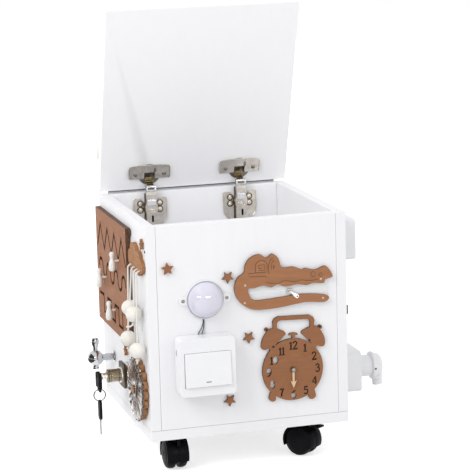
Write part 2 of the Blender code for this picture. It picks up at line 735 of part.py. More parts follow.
def castor(name, x, y, turn, black, steel):
    """A twin-wheel castor. In its own frame the wheels trail along +X."""
    king = frame(f"{name}_king", (x, y, 0), (0, 0, turn))
    axle_z = WHEEL_RADIUS - FLOOR_DROP
    inner = WHEEL_RADIUS + HOOD_CLEARANCE
    outer = inner + HOOD_SHELL
    side = Matrix.Translation((TRAIL, 0, axle_z)) @ Matrix.Rotation(QUARTER, 4, "X")
    steps = SIDES // 2 - 2
    arc = [HOOD_START + (HOOD_END - HOOD_START) * i / steps for i in range(steps + 1)]
    cover = [(outer * math.cos(a), outer * math.sin(a)) for a in arc]
    cover += [(inner * math.cos(a), inner * math.sin(a)) for a in reversed(arc)]
    half = WHEEL_PAIR / 2 + HOOD_OVERHANG
    hood = piece(f"castor_hood_{name}", prism(bmesh.new(), cover, -half, half, side), black, king)
    middle = (inner + outer) / 2
    hub = [(HUB_RADIUS * math.cos(a), HUB_RADIUS * math.sin(a)) for a in (math.pi + math.pi * i / 6 for i in range(7))]
    web = [(middle * math.cos(a), middle * math.sin(a)) for a in arc] + hub
    join(hood, prism(bmesh.new(), web, -WEB / 2, WEB / 2, side))
    join(hood, block(bmesh.new(), (-NECK_REAR, -WEB / 2, -NECK_DROP), (BOSS_RADIUS, WEB / 2, -BOSS_TOP - SEAM)))
    stem = (
        (0, STEM_REACH), (STEM_RADIUS, STEM_REACH), (STEM_RADIUS, -BOSS_TOP), (BOSS_RADIUS, -BOSS_TOP),
        (BOSS_RADIUS, -BOSS_BOTTOM), (0, -BOSS_BOTTOM),
    )
    join(hood, turned(bmesh.new(), stem, SMALL_SIDES))
    bore = Matrix.Translation((TRAIL, 0, axle_z)) @ along("Y")
    cut(hood, rod(bmesh.new(), AXLE_RADIUS + SEAM, -WEB, WEB, SMALL_SIDES, bore))
    pivot = (-LEVER_PIVOT_X, 0, -LEVER_PIVOT_DROP)
    if name == "front_right":
        pin_hole = along("Y", pivot)
        cut(hood, rod(bmesh.new(), PIN_RADIUS + PIN_CLEARANCE, -WEB, WEB, TINY_SIDES, pin_hole))
        brake_lever(frame("lever_axis", pivot, parent=king), black)
    gap = WEB / 2 + RUNNING
    wheel = WHEEL_RADIUS
    near = wheel - WHEEL_ROUND
    end = WHEEL_PAIR / 2
    profile = (
        (0, end), (near, end), (wheel, end - WHEEL_ROUND), (wheel, gap), (AXLE_RADIUS, gap),
        (AXLE_RADIUS, -gap), (wheel, -gap), (wheel, WHEEL_ROUND - end), (near, -end), (0, -end),
    )
    pair = turned(bmesh.new(), profile, SIDES, along("Y"))
    piece(f"castor_wheels_{name}", pair, steel, king, (TRAIL, 0, axle_z))


def brake_lever(axis, black):
    """Two cheeks on a pin, joined by a tab that a toe presses down."""
    inside = WEB / 2 + RUNNING
    outside = inside + LEVER_CHEEK
    fore = LEVER_PIVOT_X - BOSS_RADIUS - RUNNING * 2
    rear = NECK_REAR - LEVER_PIVOT_X + RUNNING * 2
    top = LEVER_PIVOT_DROP - BOSS_TOP - SEAM
    tab = block(bmesh.new(), (-rear - LEVER_TAB, -outside, top - LEVER_THICK), (-rear, outside, top))
    made = piece("brake_lever", tab, black, axis)
    for side in (-1, 1):
        low, high = sorted((side * inside, side * outside))
        cheek = block(bmesh.new(), (-rear - SEAM, low, -PIN_RADIUS * 2), (fore, high, top))
        join(made, cheek)
    join(made, rod(bmesh.new(), PIN_RADIUS, -outside, outside, TINY_SIDES, along("Y")))


def push_light(face, white, lilac, blue):
    """A dome on a base ring with two screw ears. Two leads run down to the switch."""
    place = (LIGHT_X, LIGHT_Z, 0)
    base = piece("light_base", rod(bmesh.new(), LIGHT_RING_RADIUS, SEAM, LIGHT_RING, SIDES), white, face, place)
    ears = rounded(LIGHT_EAR_REACH * 2, LIGHT_EAR_HALF * 2, LIGHT_EAR_HALF - SEAM)
    join(base, prism(bmesh.new(), ears, SEAM, LIGHT_EAR))
    holes = bmesh.new()
    for side in (-1, 1):
        rod(holes, SCREW_HOLE_RADIUS, -OVERRUN, LIGHT_RING + OVERRUN, TINY_SIDES, Matrix.Translation((side * LIGHT_SCREW_SPACING / 2, 0, 0)))
    cut(base, holes)
    seat = LIGHT_RING + SEAM
    sphere = (DOME_RADIUS ** 2 + DOME_HEIGHT ** 2) / (2 * DOME_HEIGHT)
    reach = math.acos((sphere - DOME_HEIGHT) / sphere)
    steps = 5
    angles = [reach * i / steps for i in range(steps + 1)]
    outside = [(sphere * math.sin(a), sphere * math.cos(a) - sphere + DOME_HEIGHT) for a in angles]
    share = (DOME_RADIUS - DOME_WALL) / DOME_RADIUS
    inside = [(r * share, h * share) for r, h in outside]
    dome = turned(bmesh.new(), outside + inside[::-1], SIDES)
    piece("light_dome", dome, lilac, face, (LIGHT_X, LIGHT_Z, seat))
    top = LIGHT_Z - LIGHT_RING_RADIUS - SEAM
    low = (LIGHT_X - GROMMET_WIDTH, top - GROMMET_HEIGHT, SEAM)
    grommet = block(bmesh.new(), low, (LIGHT_X, top, GROMMET_DEPTH))
    leads = piece("light_leads", grommet, blue, face)
    housing_top = SWITCH_Z + SWITCH_HEIGHT / 2
    for start_share, end_share in ((0.28, 1.25), (0.60, 0.75)):
        start_x = LIGHT_X - GROMMET_WIDTH * start_share
        end_x = LIGHT_X - GROMMET_WIDTH * end_share
        start_y = top - GROMMET_HEIGHT / 2
        end_y = housing_top - SWITCH_WALL - GROMMET_HEIGHT
        steps = 5
        route = []
        for i in range(steps + 1):
            t = i / steps
            bend = t * t * (3 - 2 * t)
            route.append((start_x + (end_x - start_x) * bend, start_y + (end_y - start_y) * t))
        outline = stroke(route, LEAD_RADIUS * 2)
        join(leads, prism(bmesh.new(), outline, LEAD_HEIGHT - LEAD_RADIUS, LEAD_HEIGHT + LEAD_RADIUS))


def rocker_switch(face, white, black):
    """A housing on the panel with a wide rocker on two trunnions, and the battery pack inside."""
    width, height, depth = SWITCH_WIDTH, SWITCH_HEIGHT, SWITCH_DEPTH
    place = (SWITCH_X, SWITCH_Z, 0)
    housing = piece("switch_housing", prism(bmesh.new(), rounded(width, height, SWITCH_ROUND), SEAM, depth), white, face, place)
    wall = SWITCH_WALL * 2
    hollow = rounded(width - wall, height - wall, SWITCH_ROUND - SWITCH_WALL)
    cut(housing, prism(bmesh.new(), hollow, -OVERRUN, depth - SWITCH_WALL))
    open_width = ROCKER_WIDTH + ROCKER_CLEARANCE * 2
    open_height = ROCKER_HEIGHT + ROCKER_CLEARANCE * 2
    border = ROCKER_FRAME * 2
    collar = rounded(open_width + border, open_height + border, ROCKER_FRAME / 2, 0, ROCKER_RISE, 1)
    join(housing, prism(bmesh.new(), collar, depth - ROCKER_FRAME_DEPTH, depth - SWITCH_WALL / 2))
    opening = rounded(open_width, open_height, ROCKER_CLEARANCE, 0, ROCKER_RISE, 1)
    cut(housing, prism(bmesh.new(), opening, 0, depth + OVERRUN))
    axis_out = depth - TRUNNION_DEPTH
    reach = ROCKER_WIDTH / 2 + TRUNNION_REACH + SEAM
    pivot = along("X", (0, ROCKER_RISE, axis_out))
    cut(housing, rod(bmesh.new(), TRUNNION_RADIUS + PIN_CLEARANCE, -reach, reach, TINY_SIDES, pivot))
    half_notch = LEAD_NOTCH_WIDTH / 2
    notch_low = (-half_notch, height / 2 - wall, -OVERRUN)
    cut(housing, block(bmesh.new(), notch_low, (half_notch, height / 2 + OVERRUN, LEAD_NOTCH_DEPTH)))
    axis = frame("rocker_axis", (SWITCH_X, SWITCH_Z + ROCKER_RISE, axis_out), (-ROCKER_TILT, 0, 0), face)
    top = TRUNNION_DEPTH + ROCKER_PROUD
    plate = prism(bmesh.new(), rounded(ROCKER_WIDTH, ROCKER_HEIGHT, ROCKER_CLEARANCE, steps=2), top - ROCKER_THICK, top)
    rocker = piece("switch_rocker", plate, white, axis)
    reach = ROCKER_WIDTH / 2 + TRUNNION_REACH
    join(rocker, rod(bmesh.new(), TRUNNION_RADIUS, -reach, reach, TINY_SIDES, along("X")))
    low = (-BATTERY_WIDTH / 2, -BATTERY_HEIGHT / 2, SEAM)
    pack = block(bmesh.new(), low, (BATTERY_WIDTH / 2, BATTERY_HEIGHT / 2, BATTERY_DEPTH))
    piece("battery_pack", pack, black, face, (SWITCH_X, SWITCH_Z + ROCKER_RISE, 0))


def star_outline(radius, turn):
    outline = []
    for i in range(10):
        reach = radius if i % 2 == 0 else radius * STAR_INNER_SHARE
        a = QUARTER + turn + math.pi * i / 5
        outline.append((reach * math.cos(a), reach * math.sin(a)))
    return outline


def stars(face, wood):
    for name, (x, z, turn) in STARS.items():
        piece(name, prism(bmesh.new(), star_outline(STAR_RADIUS, turn), SEAM, PLY), wood, face, (x, z, 0))


def zip_plate(face, wood, tape_white, steel):
    """A crocodile's head whose mouth is a zip: the tape lies behind the plate."""
    behind = SEAM + TAPE
    outline = smooth_loop(scaled(CROC_SHARES, CROC_WIDTH, CROC_HEIGHT, CROC_X, CROC_Z), 3)
    piece("crocodile_plate", prism(bmesh.new(), outline, behind + SEAM, behind + SEAM + PLY), wood, face)
    low = (CROC_X + CROC_WIDTH * TAPE_LEFT_SHARE, CROC_Z + CROC_HEIGHT * TAPE_LOW_SHARE, SEAM)
    high = (CROC_X + CROC_WIDTH * TAPE_RIGHT_SHARE, CROC_Z + CROC_HEIGHT * TAPE_HIGH_SHARE, behind)
    piece("zip_tape", block(bmesh.new(), low, high), tape_white, face)
    place = (SLIDER_X, CROC_Z + CROC_HEIGHT * MOUTH_LINE_SHARE, behind + SEAM)
    body = rounded(SLIDER_LENGTH, SLIDER_WIDTH, SLIDER_WIDTH / 4, steps=2)
    slider = piece("zip_slider", prism(bmesh.new(), body, 0, SLIDER_HEIGHT + SEAM), steel, face, place)
    pull = rounded(PULL_LENGTH, PULL_WIDTH, PULL_WIDTH / 3, (PULL_LENGTH - PULL_WIDTH) / 2, 0, 2)
    join(slider, prism(bmesh.new(), turned_outline(pull, PULL_TURN), SLIDER_HEIGHT, SLIDER_HEIGHT + PULL_THICK))


def clock(face, wood, birch):
    """An alarm clock in one plate, with a hand that turns on a pin."""
    radius = CLOCK_RADIUS
    place = (CLOCK_X, CLOCK_Z, 0)
    low, high = SEAM, SEAM + PLY
    plate = piece("clock_plate", prism(bmesh.new(), circle(radius, SIDES * 2), low, high), wood, face, place)
    bell = smooth_loop(scaled(BELL_SHARES, radius, radius), 2)
    foot = smooth_loop(scaled(FOOT_SHARES, radius, -radius), 2)
    leg = scaled(BELL_LEG_SHARES, radius, radius)
    handle = scaled(HANDLE_SHARES, radius, radius)
    hammer = scaled(HAMMER_SHARES, radius, radius)
    nub = circle(radius * NUB_RADIUS_SHARE, TINY_SIDES, radius * NUB_SHARES[0], radius * NUB_SHARES[1])
    parts = [handle, hammer]
    for outline in (leg, bell, nub, foot):
        parts += [outline, mirrored(outline)]
    for outline in parts:
        outline = turned_outline(outline, -CLOCK_TILT)
        join(plate, prism(bmesh.new(), outline, low, high))
    cut(plate, rod(bmesh.new(), CLOCK_PIN_RADIUS + PIN_CLEARANCE, -OVERRUN, high + OVERRUN, TINY_SIDES))
    axis = frame("clock_axis", (CLOCK_X, CLOCK_Z, 0), (0, 0, HAND_TURN), face)
    bottom = high + HAND_GAP
    top = bottom + HAND_THICK
    neck = HAND_LENGTH - HAND_HEAD
    right = [(HAND_HALF, -HAND_ROOT), (HAND_HALF, neck), (HAND_HEAD_HALF, neck)]
    arrow = right + [(0, HAND_LENGTH)] + mirrored(right)
    hand = piece("clock_hand", prism(bmesh.new(), arrow, bottom, top), birch, axis)
    pin = (
        (0, top + CLOCK_PIN_HEAD), (CLOCK_PIN_HEAD_RADIUS, top + CLOCK_PIN_HEAD), (CLOCK_PIN_HEAD_RADIUS, top - SEAM),
        (CLOCK_PIN_RADIUS, top - SEAM), (CLOCK_PIN_RADIUS, low), (0, low),
    )
    join(hand, turned(bmesh.new(), pin, TINY_SIDES))


def maze_routes():
    """The three paths of the slots, as (along the wall, height)."""
    zigzag = [
        (ZIGZAG_START + ZIGZAG_STEP * i, ZIGZAG_HIGH if i % 2 else ZIGZAG_LOW) for i in range(ZIGZAG_STEPS + 1)
    ]
    wave = []
    steps = 6
    for arc in range(WAVE_ARCS):
        centre = WAVE_START + ARC_RADIUS * 2 * arc
        side = 1 if arc % 2 == 0 else -1
        for i in range(steps if arc < WAVE_ARCS - 1 else steps + 1):
            a = math.pi * (1 - i / steps)
            wave.append((centre + ARC_RADIUS * math.cos(a), WAVE_Z + side * ARC_RADIUS * math.sin(a)))
    square = []
    for i in range(SQUARE_STEPS):
        x = SQUARE_START + SQUARE_STEP * i
        z = SQUARE_HIGH if i % 2 == 0 else SQUARE_LOW
        square += [(x, z), (x + SQUARE_STEP, z)]
    return zigzag, wave, square


def maze_peg(name, x, z, face, white):
    """A waisted figure on a stem through the slot, with a foot behind the board."""
    axis = frame(f"{name}_axis", (x, z, 0), parent=face)
    profile = [(PEG_RADIUS * r, PEG_LENGTH * h) for r, h in PEG_SHARES]
    standing = Matrix.Translation((0, 0, PEG_OUT)) @ along("Y")
    peg = piece(name, turned(bmesh.new(), profile, SMALL_SIDES, standing), white, axis)
    foot_low = SEAM * 2
    foot_high = foot_low + PEG_FOOT
    stem = (
        (0, PEG_OUT), (PEG_STEM_RADIUS, PEG_OUT), (PEG_STEM_RADIUS, foot_high), (PEG_FOOT_RADIUS, foot_high),
        (PEG_FOOT_RADIUS, foot_low), (0, foot_low),
    )
    join(peg, turned(bmesh.new(), stem, TINY_SIDES))


def maze(face, wood, white):
    low = (MAZE_REAR, MAZE_LOW, SEAM)
    high = (MAZE_REAR + MAZE_LENGTH, MAZE_LOW + MAZE_HEIGHT, MAZE_SPACER + MAZE_FRONT)
    board = piece("maze_board", block(bmesh.new(), low, high), wood, face)
    rim = Vector((MAZE_RIM, MAZE_RIM, 0))
    inner_low = Vector(low) + rim
    inner_high = Vector(high) - rim
    inner_low.z = -OVERRUN
    inner_high.z = MAZE_SPACER
    cut(board, block(bmesh.new(), inner_low, inner_high))
    for route in maze_routes():
        cut(board, prism(bmesh.new(), stroke(route, SLOT_WIDTH), 0, MAZE_SPACER + MAZE_FRONT + OVERRUN))
    zigzag_x = ZIGZAG_START + ZIGZAG_STEP * 6
    maze_peg("maze_peg_top", zigzag_x, ZIGZAG_LOW, face, white)
    maze_peg("maze_peg_middle", WAVE_START + ARC_RADIUS * 2, WAVE_Z - ARC_RADIUS, face, white)
    maze_peg("maze_peg_low", SQUARE_START + SQUARE_STEP * 4, PEG_LOW_REST, face, white)


def smooth_path(points, steps):
    """An open curve through the points."""
    padded = [points[0] * 2 - points[1], *points, points[-1] * 2 - points[-2]]
    path = []
    for before, start, end, after in zip(padded, padded[1:], padded[2:], padded[3:]):
        for step in range(steps):
            t = step / steps
            path.append(
                start + (end - before) * (t / 2)
                + (before * 2 - start * 5 + end * 4 - after) * (t * t / 2)
                + (start * 3 - before - end * 3 + after) * (t * t * t / 2)
            )
    return path + [points[-1]]


def cord_run(name):
    """A bead's centre, and the direction of its cord's straight run up to the bend in front of the cloud."""
    hole_x, x, z = BEADS[name]
    centre = Vector((x, z, BEAD_OUT))
    bend = Vector((hole_x, CORD_HOLE_Z - CORD_BEND, CORD_HANG_OUT))
    return centre, (bend - centre).normalized()


def quarter_bend(corner, start, end, steps=4):
    """A quarter circle that rounds a square corner, from corner + start to corner + end."""
    turns = [QUARTER * i / steps for i in range(steps + 1)]
    return [corner + start * (1 - math.sin(t)) + end * (1 - math.cos(t)) for t in turns]


def cord_half(name, across):
    """A cord from below its bead, up to the cloud, through the hole and into the run behind the plate."""
    centre, run = cord_run(name)
    hole_x = BEADS[name][0]
    start = centre - run * (BEAD_RADIUS + CORD_TAIL)
    end = Vector((hole_x, CORD_HOLE_Z - CORD_BEND, CORD_HANG_OUT))
    path = [start + (end - start) * (i / 10) for i in range(10)]
    front = Vector((hole_x, CORD_HOLE_Z, CORD_HANG_OUT))
    path += quarter_bend(front, Vector((0, -CORD_BEND, 0)), Vector((0, 0, -CORD_BEND)))
    behind = Vector((hole_x, CORD_HOLE_Z, CORD_OUT))
    return path + quarter_bend(behind, Vector((0, 0, CORD_TURN)), Vector((math.copysign(CORD_TURN, across), 0, 0)))


def lacing_cord(name, ends, face, cotton):
    """One cord up from a bead, through the cloud, across behind it and down to the other bead."""
    across = BEADS[ends[1]][0] - BEADS[ends[0]][0]
    path = cord_half(ends[0], across) + cord_half(ends[1], -across)[::-1]
    curve = bpy.data.curves.new(name, "CURVE")
    curve.dimensions = "3D"
    curve.bevel_depth = CORD_RADIUS
    curve.bevel_resolution = 2
    curve.use_fill_caps = True
    spline = curve.splines.new("POLY")
    spline.points.add(len(path) - 1)
    for point, place in zip(spline.points, path):
        point.co = (*place, 1)
    curve.materials.append(cotton)
    made = bpy.data.objects.new(name, curve)
    bpy.context.scene.collection.objects.link(made)
    made.parent = face


def bead(name, face, cotton):
    """A ball bored along its cord's straight run."""
    centre, run = cord_run(name)
    turn = run.to_track_quat("Z", "Y").to_euler()
    made = piece(name, turned(bmesh.new(), ball(BEAD_RADIUS, 8), 16), cotton, face, centre, turn)
    cut(made, rod(bmesh.new(), BEAD_BORE_RADIUS, -BEAD_RADIUS - OVERRUN, BEAD_RADIUS + OVERRUN, TINY_SIDES))


def cloud(face, wood, cotton):
    """A cloud plate, hollow behind where the cords cross, with four holes where they come out."""
    outline = smooth_loop(scaled(CLOUD_SHARES, CLOUD_LENGTH, CLOUD_HEIGHT, CLOUD_REAR, CLOUD_LOW), 3)
    plate = piece("cloud_plate", prism(bmesh.new(), outline, SEAM, CLOUD_THICK), wood, face)
    hollow = scaled(CLOUD_HOLLOW_SHARES, CLOUD_LENGTH, CLOUD_HEIGHT, CLOUD_REAR, CLOUD_LOW)
    cut(plate, prism(bmesh.new(), hollow, -OVERRUN, CLOUD_THICK - CLOUD_SKIN))
    holes = bmesh.new()
    for hole_x, _, _ in BEADS.values():
        hole = Matrix.Translation((hole_x, CORD_HOLE_Z, 0))
        rod(holes, CORD_HOLE_RADIUS, CLOUD_THICK - CLOUD_SKIN - OVERRUN, CLOUD_THICK + OVERRUN, SMALL_SIDES, hole)
    cut(plate, holes)
    for name, ends in CORDS.items():
        lacing_cord(name, ends, face, cotton)
    for name in BEADS:
        bead(name, face, cotton)


def gear_outline(radius, depth, teeth, steps, lobed):
    """Round lobes with sharp valleys, or else even waves."""
    outline = []
    count = teeth * steps
    for i in range(count):
        a = 2 * math.pi * i / count
        wave = abs(math.cos(teeth * a / 2)) if lobed else (1 + math.cos(teeth * a)) / 2
        reach = radius - depth * (1 - wave)
        outline.append((reach * math.cos(a), reach * math.sin(a)))
    return outline


def gears(face, wood, acrylic):
    """A scalloped wooden gear with its dowel in the wall, and a clear gear that runs on the same dowel."""
    place = (GEAR_X, GEAR_Z, 0)
    outline = gear_outline(WOOD_GEAR_RADIUS, SCALLOP_DEPTH, WOOD_SCALLOPS, 7, True)
    top = WOOD_GEAR_OUT + WOOD_GEAR
    wooden = piece("wooden_gear", prism(bmesh.new(), outline, WOOD_GEAR_OUT, top), wood, face, place)
    cap = CLEAR_GEAR_OUT + CLEAR_GEAR + RUNNING
    dowel = (
        (0, cap + DOWEL_CAP), (DOWEL_CAP_RADIUS, cap + DOWEL_CAP), (DOWEL_CAP_RADIUS, cap), (DOWEL_RADIUS, cap),
        (DOWEL_RADIUS, -DOWEL_DEPTH), (0, -DOWEL_DEPTH),
    )
    join(wooden, turned(bmesh.new(), dowel, SMALL_SIDES))
    outline = gear_outline(CLEAR_GEAR_RADIUS, TOOTH_DEPTH, CLEAR_TEETH, 4, False)
    clear = piece("clear_gear", prism(bmesh.new(), outline, 0, CLEAR_GEAR), acrylic, face, (GEAR_X, GEAR_Z, CLEAR_GEAR_OUT))
    cut(clear, rod(bmesh.new(), DOWEL_RADIUS + SEAM, -OVERRUN, CLEAR_GEAR + OVERRUN))


def lock(face, brass, steel, black):
    """A cam lock: case and barrel, the bolt inside, the key in the barrel and the ring on the key's head."""
    half = LOCK_BODY / 2
    case = block(bmesh.new(), (-half, -half, SEAM), (half, half, LOCK_BODY_DEPTH))
    body = piece("lock_case", case, brass, face, (LOCK_X, LOCK_Z, 0))
    plate = rounded(LOCK_PLATE, LOCK_PLATE, LOCK_ROUND, steps=2)
    join(body, prism(bmesh.new(), plate, LOCK_BODY_DEPTH - OVERRUN, LOCK_PLATE_TOP))
    mouth = LOCK_CASE + BARREL_LENGTH
    steps = (
        (0, mouth), (BARREL_RADIUS, mouth), (BARREL_RADIUS, LOCK_CASE), (COLLAR_RADIUS, LOCK_CASE),
        (COLLAR_RADIUS, LOCK_BODY_DEPTH), (0, LOCK_BODY_DEPTH),
    )
    join(body, turned(bmesh.new(), steps, SIDES))
    bolt_half = BOLT_WIDTH / 2 + SEAM
    channel_low = LOCK_BODY / 2 - BOLT_LENGTH - BOLT_THROW
    channel = block(bmesh.new(), (-bolt_half, channel_low, BOLT_OUT - SEAM), (bolt_half, LOCK_BODY / 2 + OVERRUN, BOLT_OUT + BOLT_THICK + SEAM))
    cut(body, channel)
    cut(body, rod(bmesh.new(), KEYWAY_RADIUS, BOLT_OUT + BOLT_THICK, mouth + OVERRUN))
    bolt_top = LOCK_BODY / 2 + BOLT_PROUD
    bolt_low = (-BOLT_WIDTH / 2, bolt_top - BOLT_LENGTH, BOLT_OUT)
    bolt = block(bmesh.new(), bolt_low, (BOLT_WIDTH / 2, bolt_top, BOLT_OUT + BOLT_THICK))
    piece("lock_bolt", bolt, steel, face, (LOCK_X, LOCK_Z, 0))
    key_axis = frame("key_axis", (LOCK_X, LOCK_Z, mouth), parent=face)
    core = (
        (0, KEY_HUB), (KEY_HUB_RADIUS, KEY_HUB), (KEY_HUB_RADIUS, RUNNING), (KEY_CORE_RADIUS, RUNNING),
        (KEY_CORE_RADIUS, -KEY_CORE_REACH), (0, -KEY_CORE_REACH),
    )
    key = piece("lock_key", turned(bmesh.new(), core, SMALL_SIDES), steel, key_axis)
    tongue = KEY_FORK_HALF - RUNNING
    tongue_top = (tongue, HEAD_PIVOT_RISE + PIN_RADIUS * 2, HEAD_PIVOT_OUT + PIN_RADIUS * 2)
    join(key, block(bmesh.new(), (-tongue, 0, KEY_HUB - SEAM), tongue_top))
    hinge = along("X", (0, HEAD_PIVOT_RISE, HEAD_PIVOT_OUT))
    reach = KEY_FORK_HALF * 2
    cut(key, rod(bmesh.new(), PIN_RADIUS + PIN_CLEARANCE, -reach, reach, TINY_SIDES, hinge))
    key_head(frame("head_axis", (0, HEAD_PIVOT_RISE, HEAD_PIVOT_OUT), parent=key_axis), black)
    rim = HEAD_PIVOT_RISE + HEAD_TOP - HEAD_LENGTH + EYE_RIM / 2
    key_ring(frame("ring_axis", (0, rim, HEAD_PIVOT_OUT), parent=key_axis), black, steel)


def key_head(axis, black):
    """A flat head, forked round the key's tongue, with a thin eye for the ring at its free end."""
    half = HEAD_WIDTH / 2
    outline = rounded(HEAD_WIDTH, HEAD_LENGTH, half / 2, 0, HEAD_TOP - HEAD_LENGTH / 2, 3)
    head = piece("key_head", prism(bmesh.new(), outline, -HEAD_BACK, HEAD_FRONT), black, axis)
    low = (-KEY_FORK_HALF, -HEAD_FORK, -HEAD_BACK - OVERRUN)
    cut(head, block(bmesh.new(), low, (KEY_FORK_HALF, HEAD_TOP + OVERRUN, HEAD_FRONT + OVERRUN)))
    join(head, rod(bmesh.new(), PIN_RADIUS, -half / 2, half / 2, TINY_SIDES, along("X")))
    bottom = HEAD_TOP - HEAD_LENGTH
    for low, high in ((-HEAD_BACK - OVERRUN, -EYE_HALF), (EYE_HALF, HEAD_FRONT + OVERRUN)):
        cut(head, block(bmesh.new(), (-half - OVERRUN, bottom - OVERRUN, low), (half + OVERRUN, bottom + EYE_HEIGHT, high)))
    hole = Matrix.Translation((0, bottom + EYE_RIM + HEAD_HOLE_RADIUS, 0))
    cut(head, rod(bmesh.new(), HEAD_HOLE_RADIUS, -EYE_HALF - OVERRUN, EYE_HALF + OVERRUN, SMALL_SIDES, hole))


def key_ring(axis, black, steel):
    """A split ring through the head's hole with the spare key fixed on it, hanging straight down."""
    wire = [(RING_RADIUS + RING_WIRE * math.cos(a), RING_WIRE * math.sin(a)) for a in (2 * math.pi * i / 6 for i in range(6))]
    standing = Matrix.Translation((0, -RING_HANG, 0)) @ along("X")
    ring = piece("key_ring", turned(bmesh.new(), wire, 24, standing), steel, axis)
    low = -SPARE_DROP - SPARE_HEAD
    centre = -SPARE_DROP - SPARE_HEAD / 2 + RING_WIRE * 3
    head = prism(bmesh.new(), rounded(SPARE_WIDTH, SPARE_HEAD, SPARE_WIDTH / 4, 0, centre, 3), -SPARE_THICK / 2, SPARE_THICK / 2)
    join(ring, head)
    half = SPARE_BLADE_WIDTH / 2
    blade_low = (-half, low - SPARE_BLADE, -SPARE_BLADE_THICK / 2)
    join(ring, block(bmesh.new(), blade_low, (half, low + SPARE_HEAD / 2, SPARE_BLADE_THICK / 2)))


def tap(face, chrome):
    """A ball on a stub with a short spout, and a lever that turns on top."""
    place = (TAP_X, TAP_Z, 0)
    body = piece("tap_body", rod(bmesh.new(), TAP_STUB_RADIUS, -TAP_BORE_DEPTH, TAP_BALL_OUT, SMALL_SIDES), chrome, face, place)
    centre = Matrix.Translation((0, 0, TAP_BALL_OUT))
    join(body, turned(bmesh.new(), ball(TAP_BALL_RADIUS, 8), SMALL_SIDES, centre))
    join(body, rod(bmesh.new(), TAP_SPOUT_RADIUS, -TAP_SPOUT_REACH, 0, SMALL_SIDES, centre @ along("Y")))
    half = TAP_BALL_RADIUS + OVERRUN
    cut(body, block(bmesh.new(), (-half, TAP_SEAT, TAP_BALL_OUT - half), (half, half, TAP_BALL_OUT + half)))
    bore = centre @ along("Y", (0, TAP_SEAT, 0))
    cut(body, rod(bmesh.new(), TAP_PIN_RADIUS + PIN_CLEARANCE, -TAP_PIN_REACH - SEAM, OVERRUN, TINY_SIDES, bore))
    axis = frame("tap_axis", (TAP_X, TAP_Z + TAP_SEAT + SEAM, TAP_BALL_OUT), parent=face)
    profile = [(TAP_LEVER_RADIUS * r, TAP_LEVER_RISE * h) for r, h in TAP_LEVER_SHARES]
    profile = [(0, TAP_LEVER_RISE)] + profile[::-1]
    profile += [(TAP_PIN_RADIUS, 0), (TAP_PIN_RADIUS, -TAP_PIN_REACH), (0, -TAP_PIN_REACH)]
    piece("tap_lever", turned(bmesh.new(), profile, SMALL_SIDES, along("Y")), chrome, axis)


def side_switch(face, white):
    """A surface switch box with a well, and the square rocker that tips in it."""
    size, depth, key = SIDE_SWITCH_SIZE, SIDE_SWITCH_DEPTH, SIDE_ROCKER_SIZE
    box = prism(bmesh.new(), rounded(size, size, SWITCH_ROUND), SEAM, depth)
    made = piece("side_switch", box, white, face, (SIDE_SWITCH_X, SIDE_SWITCH_Z, 0))
    well = key + ROCKER_CLEARANCE * 2
    cut(made, prism(bmesh.new(), rounded(well, well, ROCKER_CLEARANCE, steps=1), depth - SIDE_WELL_DEPTH, depth + OVERRUN))
    axis_out = depth - TRUNNION_DEPTH
    reach = key / 2 + TRUNNION_REACH + SEAM
    pivot = along("X", (0, 0, axis_out))
    cut(made, rod(bmesh.new(), TRUNNION_RADIUS + PIN_CLEARANCE, -reach, reach, TINY_SIDES, pivot))
    axis = frame("side_rocker_axis", (SIDE_SWITCH_X, SIDE_SWITCH_Z, axis_out), (-ROCKER_TILT, 0, 0), face)
    top = TRUNNION_DEPTH + ROCKER_PROUD
    plate = prism(bmesh.new(), rounded(key, key, ROCKER_CLEARANCE, steps=2), top - SIDE_ROCKER_THICK, top)
    rocker = piece("side_rocker", plate, white, axis)
    reach = key / 2 + TRUNNION_REACH
    join(rocker, rod(bmesh.new(), TRUNNION_RADIUS, -reach, reach, TINY_SIDES, along("X")))


def pin_spacing():
    return ((-PLUG_PIN_SPACING / 2, 0), (PLUG_PIN_SPACING / 2, 0))


def socket_and_plug(face, white):
    """A socket box with a round well, and the plug that sits in it."""
    outline = rounded(SOCKET_LENGTH, SOCKET_HEIGHT, SOCKET_ROUND)
    box = piece("socket_box", prism(bmesh.new(), outline, SEAM, SOCKET_DEPTH), white, face, (SOCKET_X, SOCKET_Z, 0))
    floor = SOCKET_DEPTH - SOCKET_WELL_DEPTH
    cut(box, rod(bmesh.new(), SOCKET_WELL_RADIUS, floor, SOCKET_DEPTH + OVERRUN, SIDES))
    holes = bmesh.new()
    for x, y in pin_spacing():
        hole = Matrix.Translation((x, y, 0))
        rod(holes, PLUG_PIN_RADIUS + PLUG_PIN_CLEARANCE, floor - PLUG_PIN - SEAM, floor + OVERRUN, TINY_SIDES, hole)
    cut(box, holes)
    seat = floor + PLUG_GAP
    cap = [(PLUG_RIM_RADIUS * r, PLUG_NECK + PLUG_CAP * h) for r, h in PLUG_CAP_SHARES]
    profile = cap[::-1] + [(PLUG_NECK_RADIUS, PLUG_NECK), (PLUG_NECK_RADIUS, 0), (0, 0)]
    plug = piece("plug", turned(bmesh.new(), profile, SIDES), white, face, (SOCKET_X, SOCKET_Z, seat))
    spout = along("Y", (0, 0, PLUG_NECK + PLUG_CAP / 2))
    join(plug, rod(bmesh.new(), PLUG_SPOUT_RADIUS, -PLUG_SPOUT_REACH, 0, SMALL_SIDES, spout))
    pins = bmesh.new()
    for x, y in pin_spacing():
        rod(pins, PLUG_PIN_RADIUS, -PLUG_PIN, PLUG_GAP, TINY_SIDES, Matrix.Translation((x, y, 0)))
    join(plug, pins)


